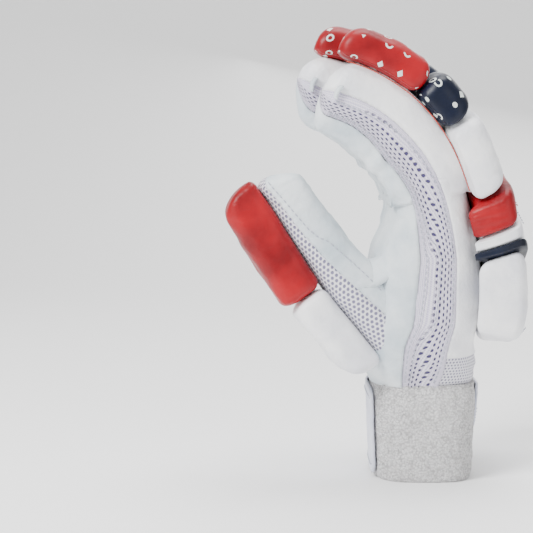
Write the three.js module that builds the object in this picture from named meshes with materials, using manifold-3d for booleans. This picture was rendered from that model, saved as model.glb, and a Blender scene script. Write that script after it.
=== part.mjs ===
// A right-hand cricket batting glove, standing on its cuff as it is stored.
//
// The hand is a hollow shell of thin leather and knitted mesh: a palm body, four finger stalls and
// a thumb stall, all open to the wrist. Padded rolls follow the backs of the fingers, four padded
// pieces cover the back of the hand, and a towelling cuff with a wrap-round strap closes the wrist.
//
// Millimetres, +Z up. +X is the back of the hand, -X the palm, -Y the thumb and index side and +Y
// the little finger side. The origin is on the floor, under the middle of the whole glove.
import * as THREE from 'three';
import Module from 'manifold-3d';

const wasm = await Module();
wasm.setup();
const { Manifold, Mesh } = wasm;

// Driving dimensions
const CUFF_HEIGHT = 66;
const HAND_LENGTH = 218;
const HAND_DEPTH = 75;
const ROLL_WIDTH = 35;
const ROLL_THICKNESS = 24;
const PANEL_THICKNESS = 26;
const PIPING_WIDTH = 4.5;
const BAND_HEIGHT = 20.5;
const PIPING_PROUD = 2.5;
const PANEL_PROUD = 1.5;
const CUFF_DEPTH = 71;
const CUFF_WIDTH = 88;
const CUFF_WALL = 4;
const STRAP_THICKNESS = 2;
const THUMB_LENGTH = 134;
const THUMB_DEPTH = 30;
const THUMB_WIDTH = 38;
const THUMB_ROLL_THICKNESS = 28;
const WALL = 2.4;
const TAB_THICKNESS = 1.4;
const SEAM_GAP = 0.35;

// Where things lie, worked out from the sizes above
const HAND_WIDTH = 4 * ROLL_WIDTH;
const BODY_WIDTH = HAND_WIDTH - 8;

// A cut can leave specks: a body smaller than a cube of this edge is no piece
const SPECK_EDGE = 0.17 * ROLL_WIDTH;
const THUMB_CENTRE_Y = -0.3 * HAND_WIDTH;
const THUMB_TURN = THREE.MathUtils.degToRad(10);
const CUFF_CENTRE_Y = -0.06 * HAND_WIDTH;
const CUFF_CENTRE_X = -0.05 * HAND_DEPTH;

// Stations from the wrist seam to the middle fingertip. The back and palm columns give the points
// under the padding and on the palm face: x is a share of HAND_DEPTH, z a share of HAND_LENGTH
// above the cuff. The two side columns are shares of half of BODY_WIDTH.
const HAND_STATIONS = [
  { backX: 0.41, backZ: 0.0, palmX: -0.53, palmZ: 0.0, indexSide: 0.78, littleSide: 0.52 },
  { backX: 0.43, backZ: 0.05, palmX: -0.57, palmZ: 0.05, indexSide: 0.88, littleSide: 0.76 },
  { backX: 0.4, backZ: 0.12, palmX: -0.58, palmZ: 0.12, indexSide: 0.97, littleSide: 0.95 },
  { backX: 0.44, backZ: 0.195, palmX: -0.57, palmZ: 0.19, indexSide: 1.0, littleSide: 1.0 },
  { backX: 0.455, backZ: 0.295, palmX: -0.56, palmZ: 0.29, indexSide: 1.0, littleSide: 1.0 },
  { backX: 0.44, backZ: 0.385, palmX: -0.51, palmZ: 0.385, indexSide: 1.0, littleSide: 1.0 },
  { backX: 0.385, backZ: 0.48, palmX: -0.42, palmZ: 0.465, indexSide: 1.0, littleSide: 1.0 },
  { backX: 0.295, backZ: 0.59, palmX: -0.365, palmZ: 0.54, indexSide: 1.0, littleSide: 1.0 },
  { backX: 0.165, backZ: 0.705, palmX: -0.43, palmZ: 0.6, indexSide: 1.0, littleSide: 1.0 },
  { backX: 0.005, backZ: 0.795, palmX: -0.56, palmZ: 0.645, indexSide: 1.0, littleSide: 1.0 },
  { backX: -0.185, backZ: 0.865, palmX: -0.69, palmZ: 0.695, indexSide: 1.0, littleSide: 1.0 },
  { backX: -0.385, backZ: 0.915, palmX: -0.83, palmZ: 0.735, indexSide: 1.0, littleSide: 1.0 },
  { backX: -0.61, backZ: 0.955, palmX: -0.97, palmZ: 0.76, indexSide: 1.0, littleSide: 1.0 },
  { backX: -0.86, backZ: 0.98, palmX: -1.11, palmZ: 0.785, indexSide: 1.0, littleSide: 1.0 },
  { backX: -1.13, backZ: 0.995, palmX: -1.24, palmZ: 0.85, indexSide: 1.0, littleSide: 1.0 },
];

// The fingers. root and tip are the middle of the roll and tipWidth its width, in shares of
// ROLL_WIDTH; end is where the stall ends, in stations.
const FINGERS = [
  { name: 'index', root: -1.5, tip: -1.53, tipWidth: 0.8, end: 13.0 },
  { name: 'middle', root: -0.5, tip: -0.62, tipWidth: 0.82, end: 14.0 },
  { name: 'ring', root: 0.5, tip: 0.3, tipWidth: 0.9, end: 13.7 },
  { name: 'little', root: 1.5, tip: 1.24, tipWidth: 0.84, end: 12.6 },
];

// Where one roll ends and the next begins along each finger, in stations
const ROLLS = [
  { finger: 'index', name: 'index_base_roll', from: 6.2, to: 8.75, height: 1, colour: 'white' },
  { finger: 'index', name: 'index_middle_roll', from: 8.75, to: 10.1, height: 1, colour: 'navy' },
  { finger: 'index', name: 'index_tip_roll', from: 10.1, to: 13.0, height: 0.94, colour: 'red' },
  { finger: 'middle', name: 'middle_base_roll', from: 6.6, to: 9.15, height: 1, colour: 'white' },
  { finger: 'middle', name: 'middle_middle_roll', from: 9.15, to: 10.6, height: 1, colour: 'navy' },
  { finger: 'middle', name: 'middle_tip_roll', from: 10.6, to: 13.7, height: 0.88, colour: 'red' },
  { finger: 'ring', name: 'ring_long_roll', from: 6.6, to: 10.6, height: 1, colour: 'white' },
  { finger: 'ring', name: 'ring_tip_roll', from: 10.6, to: 13.4, height: 0.9, colour: 'white' },
  { finger: 'little', name: 'little_long_roll', from: 6.2, to: 10.15, height: 1, colour: 'white' },
  { finger: 'little', name: 'little_tip_roll', from: 10.15, to: 12.6, height: 0.9, colour: 'white' },
];

// Thumb stations from its root inside the palm to its tip. along is a share of THUMB_LENGTH, depth
// a share of THUMB_DEPTH and width one of THUMB_WIDTH. lift moves the seam side towards the palm, as
// a share of THUMB_DEPTH, and lean slants the section back towards the root, as a share of
// THUMB_LENGTH.
const THUMB_STATIONS = [
  { along: -0.08, depth: 1.25, lift: 0.05, lean: 0.0, width: 0.95 },
  { along: 0.12, depth: 1.22, lift: 0.0, lean: 0.0, width: 1.0 },
  { along: 0.3, depth: 1.18, lift: -0.05, lean: 0.0, width: 1.0 },
  { along: 0.48, depth: 1.08, lift: -0.05, lean: 0.0, width: 0.98 },
  { along: 0.66, depth: 1.0, lift: 0.0, lean: -0.01, width: 0.94 },
  { along: 0.84, depth: 0.95, lift: 0.06, lean: -0.02, width: 0.9 },
  { along: 0.94, depth: 0.93, lift: 0.06, lean: -0.05, width: 0.82 },
  { along: 1.0, depth: 0.76, lift: 0.1, lean: -0.07, width: 0.66 },
];
const THUMB_ROOT = { x: -0.56, z: 0.11 };
const THUMB_ANGLE = THREE.MathUtils.degToRad(126);

// Where the palm leather meets the side mesh, and the mesh the white side leather, as shares of
// the depth from palm to back at each station
const PALM_EDGE = [0.28, 0.3, 0.33, 0.38, 0.4, 0.4, 0.33, 0.25, 0.22, 0.22, 0.24, 0.24, 0.22, 0.2, 0.2];
const BACK_EDGE = [0.62, 0.66, 0.72, 0.74, 0.73, 0.73, 0.7, 0.66, 0.63, 0.62, 0.6, 0.58, 0.56, 0.55, 0.55];

// Rings of a solid
const RING_POINTS_HAND = 20;
const RING_POINTS_FINGER = 12;
const SQUARENESS = 3.2;

const COLOURS = {
  white: { color: 0xe4e4e8, roughness: 0.45 },
  red: { color: 0xa6202b, roughness: 0.4 },
  navy: { color: 0x1b2438, roughness: 0.4 },
  leather: { color: 0xd2d9dd, roughness: 0.6 },
  mesh: { color: 0xd6cfe2, roughness: 0.9 },
  towelling: { color: 0xd2cfd0, roughness: 1.0 },
};

const LAST_STATION = HAND_STATIONS.length - 1;
const lerp = THREE.MathUtils.lerp;
const clamp = THREE.MathUtils.clamp;

// A smooth curve through one pair of columns of the hand's stations
function handCurve(columnX, columnZ) {
  const points = HAND_STATIONS.map(
    (row) => new THREE.Vector3(row[columnX] * HAND_DEPTH, 0, CUFF_HEIGHT + row[columnZ] * HAND_LENGTH),
  );
  return new THREE.CatmullRomCurve3(points, false, 'catmullrom', 0.5);
}

const backCurve = handCurve('backX', 'backZ');
const palmCurve = handCurve('palmX', 'palmZ');

// A point of a curve at a station, which runs straight on beyond either end
function pointAt(curve, station) {
  const inside = clamp(station, 0, LAST_STATION);
  const point = curve.getPoint(inside / LAST_STATION);
  if (inside === station) return point;
  const step = 0.01;
  const near = curve.getPoint(clamp(inside / LAST_STATION, step, 1 - step) + (station < 0 ? step : -step));
  const way = point.clone().sub(near).divideScalar(step * LAST_STATION);
  return point.addScaledVector(way, Math.abs(station - inside));
}

// A column of plain numbers, one for each station, read between stations
function shareAt(column, station) {
  const inside = clamp(station, 0, LAST_STATION);
  const low = Math.min(Math.floor(inside), LAST_STATION - 1);
  return lerp(column[low], column[low + 1], inside - low);
}

// The way out of the back of the hand at a station, square to the back curve
function backNormal(station) {
  const reach = 0.05;
  const along = pointAt(backCurve, station + reach).sub(pointAt(backCurve, station - reach)).normalize();
  return new THREE.Vector3(along.z, 0, -along.x);
}

// Closed solid from rings of points that all have the same number of points
function loft(rings) {
  const count = rings[0].length;
  const vertices = [];
  const triangles = [];
  for (const ring of rings) {
    for (const point of ring) vertices.push(point.x, point.y, point.z);
  }
  for (let row = 0; row < rings.length - 1; row += 1) {
    for (let k = 0; k < count; k += 1) {
      const a = row * count + k;
      const b = row * count + ((k + 1) % count);
      triangles.push(a, b, b + count, a, b + count, a + count);
    }
  }
  for (const [ring, turn] of [[0, false], [rings.length - 1, true]]) {
    const middle = new THREE.Vector3();
    rings[ring].forEach((point) => middle.add(point));
    middle.divideScalar(count);
    const centre = vertices.length / 3;
    vertices.push(middle.x, middle.y, middle.z);
    for (let k = 0; k < count; k += 1) {
      const a = ring * count + k;
      const b = ring * count + ((k + 1) % count);
      if (turn) triangles.push(a, b, centre);
      else triangles.push(b, a, centre);
    }
  }
  return closedSolid(vertices, triangles);
}

// Manifold from vertices and triangles, turned the right way out
function closedSolid(vertices, triangles) {
  let volume = 0;
  const corner = (index) => new THREE.Vector3().fromArray(vertices, index * 3);
  for (let k = 0; k < triangles.length; k += 3) {
    volume += corner(triangles[k]).dot(corner(triangles[k + 1]).cross(corner(triangles[k + 2])));
  }
  const facing = volume > 0 ? triangles : [...triangles].reverse();
  return new Manifold(new Mesh({
    numProp: 3,
    vertProperties: new Float32Array(vertices),
    triVerts: new Uint32Array(facing),
  }));
}

// A round-cornered ring between a palm point and a back point, from y low to y high
function roundedRing(palm, back, low, high, inset, count) {
  const middle = palm.clone().add(back).multiplyScalar(0.5);
  const up = back.clone().sub(palm).multiplyScalar(0.5);
  const halfDepth = up.length();
  up.divideScalar(halfDepth);
  const ring = [];
  for (let k = 0; k < count; k += 1) {
    const angle = (2 * Math.PI * (k + 0.5)) / count;
    const round = (value) => Math.sign(value) * Math.abs(value) ** (2 / SQUARENESS);
    const across = round(Math.cos(angle)) * ((high - low) / 2 - inset);
    const deep = round(Math.sin(angle)) * (halfDepth - inset);
    const point = middle.clone().addScaledVector(up, deep);
    point.y = (low + high) / 2 + across;
    ring.push(point);
  }
  return ring;
}

// The palm body, grown outwards by a negative inset
const BODY_END = 7.6;
const ROOT_SEAM = 7.8;
function handBody(inset, from, to) {
  const stations = [from, ...HAND_STATIONS.keys()].filter((s) => s === from || (s > from + 0.2 && s < to - 0.2));
  stations.push(to);
  const rings = stations.map((station) => {
    const half = BODY_WIDTH / 2;
    const low = -shareAt(HAND_STATIONS.map((row) => row.indexSide), station) * half;
    const high = shareAt(HAND_STATIONS.map((row) => row.littleSide), station) * half;
    return roundedRing(
      pointAt(palmCurve, station), pointAt(backCurve, station), low, high, inset, RING_POINTS_HAND,
    );
  });
  return loft(rings);
}

// The middle and the width of a finger's roll at a station
const FINGER_ROOT = 7;
function fingerSide(finger, station) {
  const share = clamp((station - FINGER_ROOT) / (LAST_STATION - FINGER_ROOT), 0, 1);
  return {
    middle: lerp(finger.root, finger.tip, share) * ROLL_WIDTH,
    width: lerp(1, finger.tipWidth, share) * ROLL_WIDTH,
  };
}

// A finger stall, rounded off at its tip
const STALL_SHARE = 0.86;
const TIP_STEPS = [
  { back: 1.1, size: 1.0 },
  { back: 0.45, size: 0.93 },
  { back: 0.12, size: 0.8 },
  { back: 0.0, size: 0.62 },
];
function fingerStall(finger, inset) {
  const rings = [];
  const start = FINGER_ROOT - 0.6;
  const end = finger.end - inset / 18;
  const ring = (station, size) => {
    const side = fingerSide(finger, station);
    const half = (side.width * STALL_SHARE * size) / 2;
    const palm = pointAt(palmCurve, station);
    const back = pointAt(backCurve, station);
    const tuck = (1 - size) * 0.5;
    const lowPoint = palm.clone().lerp(back, tuck);
    const highPoint = back.clone().lerp(palm, tuck * 0.5);
    return roundedRing(lowPoint, highPoint, side.middle - half, side.middle + half, inset, RING_POINTS_FINGER);
  };
  rings.push(ring(start, 0.94));
  for (let station = FINGER_ROOT; station < end - TIP_STEPS[0].back - 0.3; station += 1) {
    rings.push(ring(station, station === FINGER_ROOT ? 0.97 : 1));
  }
  for (const step of TIP_STEPS) rings.push(ring(end - step.back, step.size));
  return loft(rings);
}

// The thumb is set out along its own line, then turned about it and moved to its side of the hand
const thumbLine = new THREE.Vector3(Math.cos(THUMB_ANGLE), 0, Math.sin(THUMB_ANGLE));
const thumbOut = new THREE.Vector3(-thumbLine.z, 0, thumbLine.x);
const thumbRoot = new THREE.Vector3(THUMB_ROOT.x * HAND_DEPTH, 0, CUFF_HEIGHT + THUMB_ROOT.z * HAND_LENGTH);

function placeThumb(point) {
  const moved = point.clone().sub(thumbRoot).applyAxisAngle(thumbLine, THUMB_TURN).add(thumbRoot);
  moved.y += THUMB_CENTRE_Y;
  return moved;
}

// The seam side and the palm side of the thumb stall at a share of its length, before it is placed
function thumbEdge(along, side) {
  const next = THUMB_STATIONS.findIndex((row, index) => index > 0 && row.along >= along);
  const high = next < 0 ? THUMB_STATIONS.length - 1 : next;
  const before = THUMB_STATIONS[high - 1];
  const after = THUMB_STATIONS[high];
  const share = (along - before.along) / (after.along - before.along);
  const value = (name) => lerp(before[name], after[name], share);
  const seam = thumbRoot.clone().addScaledVector(thumbLine, along * THUMB_LENGTH);
  seam.addScaledVector(thumbOut, -value('lift') * THUMB_DEPTH);
  const palm = seam.clone().addScaledVector(thumbOut, -value('depth') * THUMB_DEPTH);
  palm.addScaledVector(thumbLine, value('lean') * THUMB_LENGTH);
  return { point: side === 'seam' ? seam : palm, half: (value('width') * THUMB_WIDTH) / 2 };
}

function thumbStall(inset) {
  const rings = THUMB_STATIONS.map((row) => {
    const along = row.along === 1 ? 1 - inset / THUMB_LENGTH : row.along;
    const seam = thumbEdge(along, 'seam');
    const palm = thumbEdge(along, 'palm');
    const ring = roundedRing(palm.point, seam.point, -seam.half, seam.half, inset, RING_POINTS_FINGER);
    return ring.map(placeThumb);
  });
  return loft(rings);
}

// A ribbon of space between two shares of the depth from palm to back, over all fingers
function depthRibbon(lowShare, highShare, from, to, lowY, highY) {
  const rings = [];
  const stations = [from];
  for (let station = Math.floor(from) + 1; station < to; station += 1) stations.push(station);
  stations.push(to);
  for (const station of stations) {
    const palm = pointAt(palmCurve, station);
    const back = pointAt(backCurve, station);
    const low = palm.clone().lerp(back, lowShare(station));
    const high = palm.clone().lerp(back, highShare(station));
    rings.push([
      new THREE.Vector3(low.x, lowY, low.z), new THREE.Vector3(high.x, lowY, high.z),
      new THREE.Vector3(high.x, highY, high.z), new THREE.Vector3(low.x, highY, low.z),
    ]);
  }
  return loft(rings);
}

// Union of several solids
const joined = (solids) => solids.reduce((sum, solid) => sum.add(solid));

// The largest body of a solid, which drops slivers that a cut leaves behind
function mainBody(solid) {
  const bodies = solid.decompose();
  return bodies.reduce((best, body) => (body.volume() > best.volume() ? body : best));
}

// The whole hand, solid, grown by so much (a negative inset) or shrunk to its inside
function handSolid(inset) {
  const body = handBody(inset, inset > 0 ? -0.5 : 0, BODY_END - inset / 18);
  return joined([body, ...FINGERS.map((finger) => fingerStall(finger, inset))]);
}

const handOuter = handSolid(0);
const handInner = handSolid(WALL);
const handGrown = handSolid(-SEAM_GAP);
const thumbOuter = thumbStall(0);
const thumbInner = thumbStall(WALL);
const thumbGrown = thumbStall(-SEAM_GAP);
const handShell = handOuter.subtract(handInner).subtract(thumbInner);


// Palm leather, side mesh and white leather, cut from the shell along the two edge columns
const WIDE = HAND_WIDTH;
const EDGE_REACH = 0.35;
const seamShare = (station) => (
  SEAM_GAP / 2 / pointAt(palmCurve, station).distanceTo(pointAt(backCurve, station))
);
const palmEdge = (station) => shareAt(PALM_EDGE, station);
const backEdge = (station) => shareAt(BACK_EDGE, station);
const WRIST_EDGE = 2.0;
const BEYOND_TIP = 1.2;

const palmSpace = depthRibbon(
  () => -EDGE_REACH, (s) => palmEdge(s) - seamShare(s), -1, LAST_STATION + BEYOND_TIP, -WIDE, WIDE,
);
const sideSpace = depthRibbon(
  (s) => palmEdge(s) + seamShare(s), (s) => backEdge(s) - seamShare(s),
  -1, LAST_STATION + BEYOND_TIP, -WIDE, WIDE,
);
const backSpace = depthRibbon(
  (s) => backEdge(s) + seamShare(s), () => 1 + EDGE_REACH,
  WRIST_EDGE + SEAM_GAP / 36, LAST_STATION + BEYOND_TIP, -WIDE, WIDE,
);
const wristSpace = depthRibbon(
  (s) => backEdge(s) + seamShare(s), () => 1 + EDGE_REACH, -1, WRIST_EDGE - SEAM_GAP / 36, -WIDE, WIDE,
);

// The end of each stall, which the white leather wraps down to the palm leather
const TIP_WRAP = 0.5;
function tipSpace(finger, gap) {
  const side = fingerSide(finger, finger.end);
  const from = finger.end - TIP_WRAP - gap / 18;
  const reach = side.width / 2 + 0.5;
  return depthRibbon(
    (s) => palmEdge(s) + seamShare(s) - gap / 50, () => 1 + EDGE_REACH, from, finger.end + BEYOND_TIP,
    side.middle - reach, side.middle + reach,
  );
}
const palmClearance = depthRibbon(
  () => -EDGE_REACH, (s) => palmEdge(s) + seamShare(s), -1, LAST_STATION + BEYOND_TIP, -WIDE, WIDE,
);
const tipSpaces = joined(FINGERS.map((finger) => tipSpace(finger, 0))).subtract(palmClearance);
const tipClearance = joined(FINGERS.map((finger) => tipSpace(finger, SEAM_GAP)));

const sideMesh = handShell.intersect(sideSpace).subtract(tipClearance);
const whiteLeather = handShell.intersect(backSpace.add(tipSpaces));

// Padded rolls: a round-shouldered block carried along the back of a finger
const SHOULDER = 0.22;
function rollRing(origin, out, middle, half, height, size, place) {
  const outline = [
    [-0.93, 0], [-1, 0.16], [-1, 1 - SHOULDER * 1.35], [-0.93, 1 - SHOULDER * 0.45], [-0.76, 1],
    [0, 1.035], [0.76, 1], [0.93, 1 - SHOULDER * 0.45], [1, 1 - SHOULDER * 1.35], [1, 0.16], [0.93, 0],
  ];
  return outline.map(([across, up]) => {
    const point = origin.clone().addScaledVector(out, up * height * size);
    point.y = middle + across * half * lerp(1, size, 0.35);
    return place ? place(point) : point;
  });
}

// How a roll is rounded off: back is the distance from its end in millimetres, size its height
const SEAM_END = [{ back: 0, size: 0.8 }, { back: 2, size: 0.95 }, { back: 5, size: 1 }];
const FREE_END = [
  { back: 0, size: 0.42 }, { back: 2.5, size: 0.72 }, { back: 7, size: 0.93 }, { back: 14, size: 1 },
];
const ROOT_END = [
  { back: 0, size: 0.55 }, { back: 5, size: 0.8 }, { back: 13, size: 0.95 }, { back: 24, size: 1 },
];
const STATION_LENGTH = HAND_LENGTH / 12;

function fingerRoll(row) {
  const finger = FINGERS.find((f) => f.name === row.finger);
  const from = row.from + SEAM_GAP / 2 / STATION_LENGTH;
  const to = row.to - SEAM_GAP / 2 / STATION_LENGTH;
  const endSteps = row.name.endsWith('tip_roll') ? FREE_END : SEAM_END;
  const rows = SEAM_END.map((step) => ({ station: from + step.back / STATION_LENGTH, size: step.size }));
  const low = rows[rows.length - 1].station;
  const high = to - endSteps[endSteps.length - 1].back / STATION_LENGTH;
  const between = Math.max(1, Math.round((high - low) / 0.7));
  for (let k = 1; k < between; k += 1) rows.push({ station: lerp(low, high, k / between), size: 1 });
  for (const step of [...endSteps].reverse()) {
    rows.push({ station: to - step.back / STATION_LENGTH, size: step.size });
  }
  const solid = loft(rows.map(({ station, size }) => {
    const side = fingerSide(finger, station);
    const half = side.width / 2 - SEAM_GAP / 2;
    const origin = pointAt(backCurve, station);
    origin.y = 0;
    return rollRing(origin, backNormal(station), side.middle, half, ROLL_THICKNESS * row.height, size, null);
  }));
  return mainBody(solid.subtract(handGrown));
}

// A closed three.js geometry as a solid, with its shared corners merged
function fromGeometry(geometry) {
  const bare = geometry.index ? geometry.toNonIndexed() : geometry;
  const source = bare.getAttribute('position');
  const seen = new Map();
  const vertices = [];
  const triangles = [];
  for (let k = 0; k < source.count; k += 1) {
    const corner = [source.getX(k), source.getY(k), source.getZ(k)];
    const key = corner.map((value) => value.toFixed(4)).join();
    if (!seen.has(key)) {
      seen.set(key, vertices.length / 3);
      vertices.push(...corner);
    }
    triangles.push(seen.get(key));
  }
  return closedSolid(vertices, triangles);
}

// An outline of [y, z] points carried along X, rising by tilt away from the plane at keepX
function carriedAlongX(outline, fromX, toX, keepX, tilt) {
  const shape = new THREE.Shape(outline.map(([y, z]) => new THREE.Vector2(y, z)));
  const block = new THREE.ExtrudeGeometry(shape, { depth: toX - fromX, bevelEnabled: false });
  const slope = Math.tan(tilt);
  block.rotateX(Math.PI / 2).rotateZ(Math.PI / 2).translate(fromX, 0, 0);
  block.applyMatrix4(new THREE.Matrix4().set(1, 0, 0, 0, 0, 1, 0, 0, slope, 0, 1, -slope * keepX, 0, 0, 0, 1));
  return fromGeometry(block);
}

// One slab of padding over the back of the hand, in sections of constant y with eased sides
const EDGE_LIP = 3;
const SLAB_FROM = 2.2;
const SLAB_TO = 8.8;
const SLAB_STEPS = 8;
const halfWidth = HAND_WIDTH / 2;
function backSlab(thickness) {
  const rows = [
    { y: -halfWidth, height: 0.84 }, { y: -halfWidth + EDGE_LIP, height: 1 },
    { y: halfWidth - EDGE_LIP, height: 1 }, { y: halfWidth, height: 0.84 },
  ];
  return loft(rows.map(({ y, height }) => {
    const stations = Array.from({ length: SLAB_STEPS + 1 }, (_, k) => lerp(SLAB_FROM, SLAB_TO, k / SLAB_STEPS));
    const at = (station, out) => {
      const point = pointAt(backCurve, station).addScaledVector(backNormal(station), out);
      point.y = y;
      return point;
    };
    const under = stations.map((station) => at(station, 0));
    const over = stations.map((station) => at(station, thickness * height)).reverse();
    return [...under, ...over];
  }));
}

// Outlines of the pads of the back, seen square on: the chevron's peak lies over the middle
const PAD_TILT = THREE.MathUtils.degToRad(10);
const BAND_PEAK = CUFF_HEIGHT + 0.67 * HAND_LENGTH;
const BAND_DROP_INDEX = 0.125 * HAND_LENGTH;
const BAND_DROP_LITTLE = 0.11 * HAND_LENGTH;
const PIPING_INDEX = CUFF_HEIGHT + 0.42 * HAND_LENGTH;
const PIPING_LITTLE = CUFF_HEIGHT + 0.21 * HAND_LENGTH;
const PANEL_BOTTOM = CUFF_HEIGHT + 0.155 * HAND_LENGTH;
const PANEL_WAVE = 0.012 * HAND_LENGTH;
const outside = halfWidth * 1.1;
const padFace = HAND_DEPTH * 0.44 + PANEL_THICKNESS;
const bandDrop = (y) => (Math.abs(y) / halfWidth) * (y < 0 ? BAND_DROP_INDEX : BAND_DROP_LITTLE);
const bandTop = (y) => BAND_PEAK - bandDrop(y);
const bandBottom = (y) => bandTop(y) - BAND_HEIGHT;
const pipingMiddle = (y) => lerp(PIPING_INDEX, PIPING_LITTLE, (y + halfWidth) / HAND_WIDTH);
const bottomWave = (y) => PANEL_BOTTOM + PANEL_WAVE * Math.cos((2 * Math.PI * y) / (0.9 * halfWidth));
const edgeOf = (height, shift) => (y) => [y, height(y) + shift];

function backPad(low, high, ys, thickness) {
  const outline = [...ys.map(low), ...[...ys].reverse().map(high)];
  const cutter = carriedAlongX(outline, 0, HAND_DEPTH + PANEL_THICKNESS, padFace, PAD_TILT);
  return mainBody(backSlab(thickness).intersect(cutter).subtract(handGrown));
}

const chevronYs = [-outside, 0, outside];
const waveYs = Array.from({ length: 13 }, (_, k) => lerp(-outside, outside, k / 12));
const pipingHalf = PIPING_WIDTH / 2;
const pads = [
  {
    name: 'knuckle_band',
    colour: 'red',
    solid: backPad(edgeOf(bandBottom, 0), edgeOf(bandTop, 0), chevronYs, PANEL_THICKNESS),
  },
  {
    name: 'back_panel',
    colour: 'white',
    solid: backPad(
      edgeOf(pipingMiddle, pipingHalf + SEAM_GAP), edgeOf(bandBottom, -SEAM_GAP),
      [-0.93 * halfWidth, 0, outside], PANEL_THICKNESS + PANEL_PROUD,
    ),
  },
  {
    name: 'piping',
    colour: 'navy',
    solid: backPad(
      edgeOf(pipingMiddle, -pipingHalf), edgeOf(pipingMiddle, pipingHalf),
      [-outside, outside], PANEL_THICKNESS + PIPING_PROUD,
    ),
  },
  {
    name: 'wrist_panel',
    colour: 'white',
    solid: backPad(
      edgeOf(bottomWave, 0), edgeOf(pipingMiddle, -pipingHalf - SEAM_GAP), waveYs, PANEL_THICKNESS,
    ),
  },
];

// The rolls nearest the knuckles are cut back to the chevron
const bandClearance = carriedAlongX(
  [[-outside, 0], [outside, 0], ...[...chevronYs].reverse().map(edgeOf(bandTop, SEAM_GAP))],
  0, HAND_DEPTH * 2, padFace, PAD_TILT,
);

// Thumb padding, laid along the seam side of the thumb stall
const THUMB_PADS = [
  { name: 'thumb_base_pad', from: -0.09, to: 0.39, height: 0.88, colour: 'white' },
  { name: 'thumb_roll', from: 0.39, to: 1.01, height: 1, colour: 'red' },
];
function thumbPad(row) {
  const endSteps = row.name === 'thumb_roll' ? FREE_END : SEAM_END;
  const startSteps = row.name === 'thumb_roll' ? SEAM_END : ROOT_END;
  const from = row.from + SEAM_GAP / 2 / THUMB_LENGTH;
  const to = row.to - SEAM_GAP / 2 / THUMB_LENGTH;
  const rows = startSteps.map((step) => ({ along: from + step.back / THUMB_LENGTH, size: step.size }));
  const low = rows[rows.length - 1].along;
  const high = to - endSteps[endSteps.length - 1].back / THUMB_LENGTH;
  const between = Math.max(2, Math.round((high - low) / 0.12));
  for (let k = 1; k < between; k += 1) rows.push({ along: lerp(low, high, k / between), size: 1 });
  for (const step of [...endSteps].reverse()) {
    rows.push({ along: to - step.back / THUMB_LENGTH, size: step.size });
  }
  const solid = loft(rows.map(({ along, size }) => {
    const seam = thumbEdge(along, 'seam');
    return rollRing(seam.point, thumbOut, 0, seam.half, THUMB_ROLL_THICKNESS * row.height, size, placeThumb);
  }));
  return mainBody(solid.subtract(thumbGrown).subtract(handGrown));
}

// The thumb stall's own shell, leather on the palm side and mesh towards the padding
const MESH_SHARES = [0.45, 0.5, 0.58, 0.68, 0.78, 0.84, 0.86, 0.86];
function thumbSpace(low, high) {
  const rings = THUMB_STATIONS.map((_, index) => {
    const seam = thumbEdge(THUMB_STATIONS[index].along, 'seam').point;
    const palm = thumbEdge(THUMB_STATIONS[index].along, 'palm').point;
    const share = (value) => palm.clone().lerp(seam, value(index));
    const reach = (index === THUMB_STATIONS.length - 1 ? 0.2 : 0) * THUMB_LENGTH;
    const a = share(low).addScaledVector(thumbLine, reach);
    const b = share(high).addScaledVector(thumbLine, reach);
    const wide = THUMB_WIDTH;
    return [[a, -wide], [b, -wide], [b, wide], [a, wide]].map(([p, y]) => placeThumb(new THREE.Vector3(p.x, y, p.z)));
  });
  return loft(rings);
}
const thumbShell = thumbOuter.subtract(thumbInner).subtract(handGrown);
const thumbSeam = SEAM_GAP / 2 / THUMB_DEPTH;
const thumbLeather = thumbShell.intersect(thumbSpace(() => -0.5, (i) => MESH_SHARES[i] - thumbSeam));
const thumbMesh = thumbShell.intersect(thumbSpace((i) => MESH_SHARES[i] + thumbSeam, () => 1.5));

// Cuff: an open towelling tube, a little wider at the floor
function cuffRing(z, grow, flare) {
  const back = new THREE.Vector3(CUFF_CENTRE_X + (CUFF_DEPTH / 2) * flare + grow, 0, z);
  const palm = new THREE.Vector3(CUFF_CENTRE_X - (CUFF_DEPTH / 2) * flare - grow, 0, z);
  const reach = (CUFF_WIDTH / 2) * flare + grow;
  return roundedRing(palm, back, CUFF_CENTRE_Y - reach, CUFF_CENTRE_Y + reach, 0, RING_POINTS_HAND);
}
const CUFF_ROWS = [
  { z: 0, flare: 0.93 }, { z: 0.3, flare: 0.96 }, { z: 0.6, flare: 0.98 },
  { z: 0.85, flare: 1.0 }, { z: 1, flare: 0.99 },
];
const cuffTop = CUFF_HEIGHT - SEAM_GAP;
const cuffTube = (grow, low, high) => loft(CUFF_ROWS.map(
  (row) => cuffRing(lerp(low, high, row.z), grow, row.flare),
));
const cuff = cuffTube(0, 0, cuffTop).subtract(cuffTube(-CUFF_WALL, -1, cuffTop + 1));

// Strap: a stiff layer round the little finger side of the cuff, from the palm to its tab
const STRAP_TAB = [
  { y: 1.3, z: 0.96 }, { y: 0.48, z: 0.98 }, { y: -0.02, z: 0.99 }, { y: -0.42, z: 0.97 },
  { y: -0.05, z: 0.47 }, { y: 0.64, z: 0.45 }, { y: 0.95, z: 0.28 }, { y: 1.3, z: 0.28 },
];
const STRAP_PALM = [
  { y: 1.3, z: 0.97 }, { y: -0.55, z: 0.93 }, { y: -0.62, z: 0.88 }, { y: -0.62, z: 0.1 }, { y: -0.55, z: 0.04 },
  { y: 0.4, z: 0.04 }, { y: 0.9, z: 0.2 }, { y: 1.3, z: 0.28 },
];
function strapCutter(rows, fromX, toX) {
  const outline = rows.map((row) => [CUFF_CENTRE_Y + (row.y * CUFF_WIDTH) / 2, row.z * CUFF_HEIGHT]);
  return carriedAlongX(outline, fromX, toX, 0, 0);
}
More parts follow.
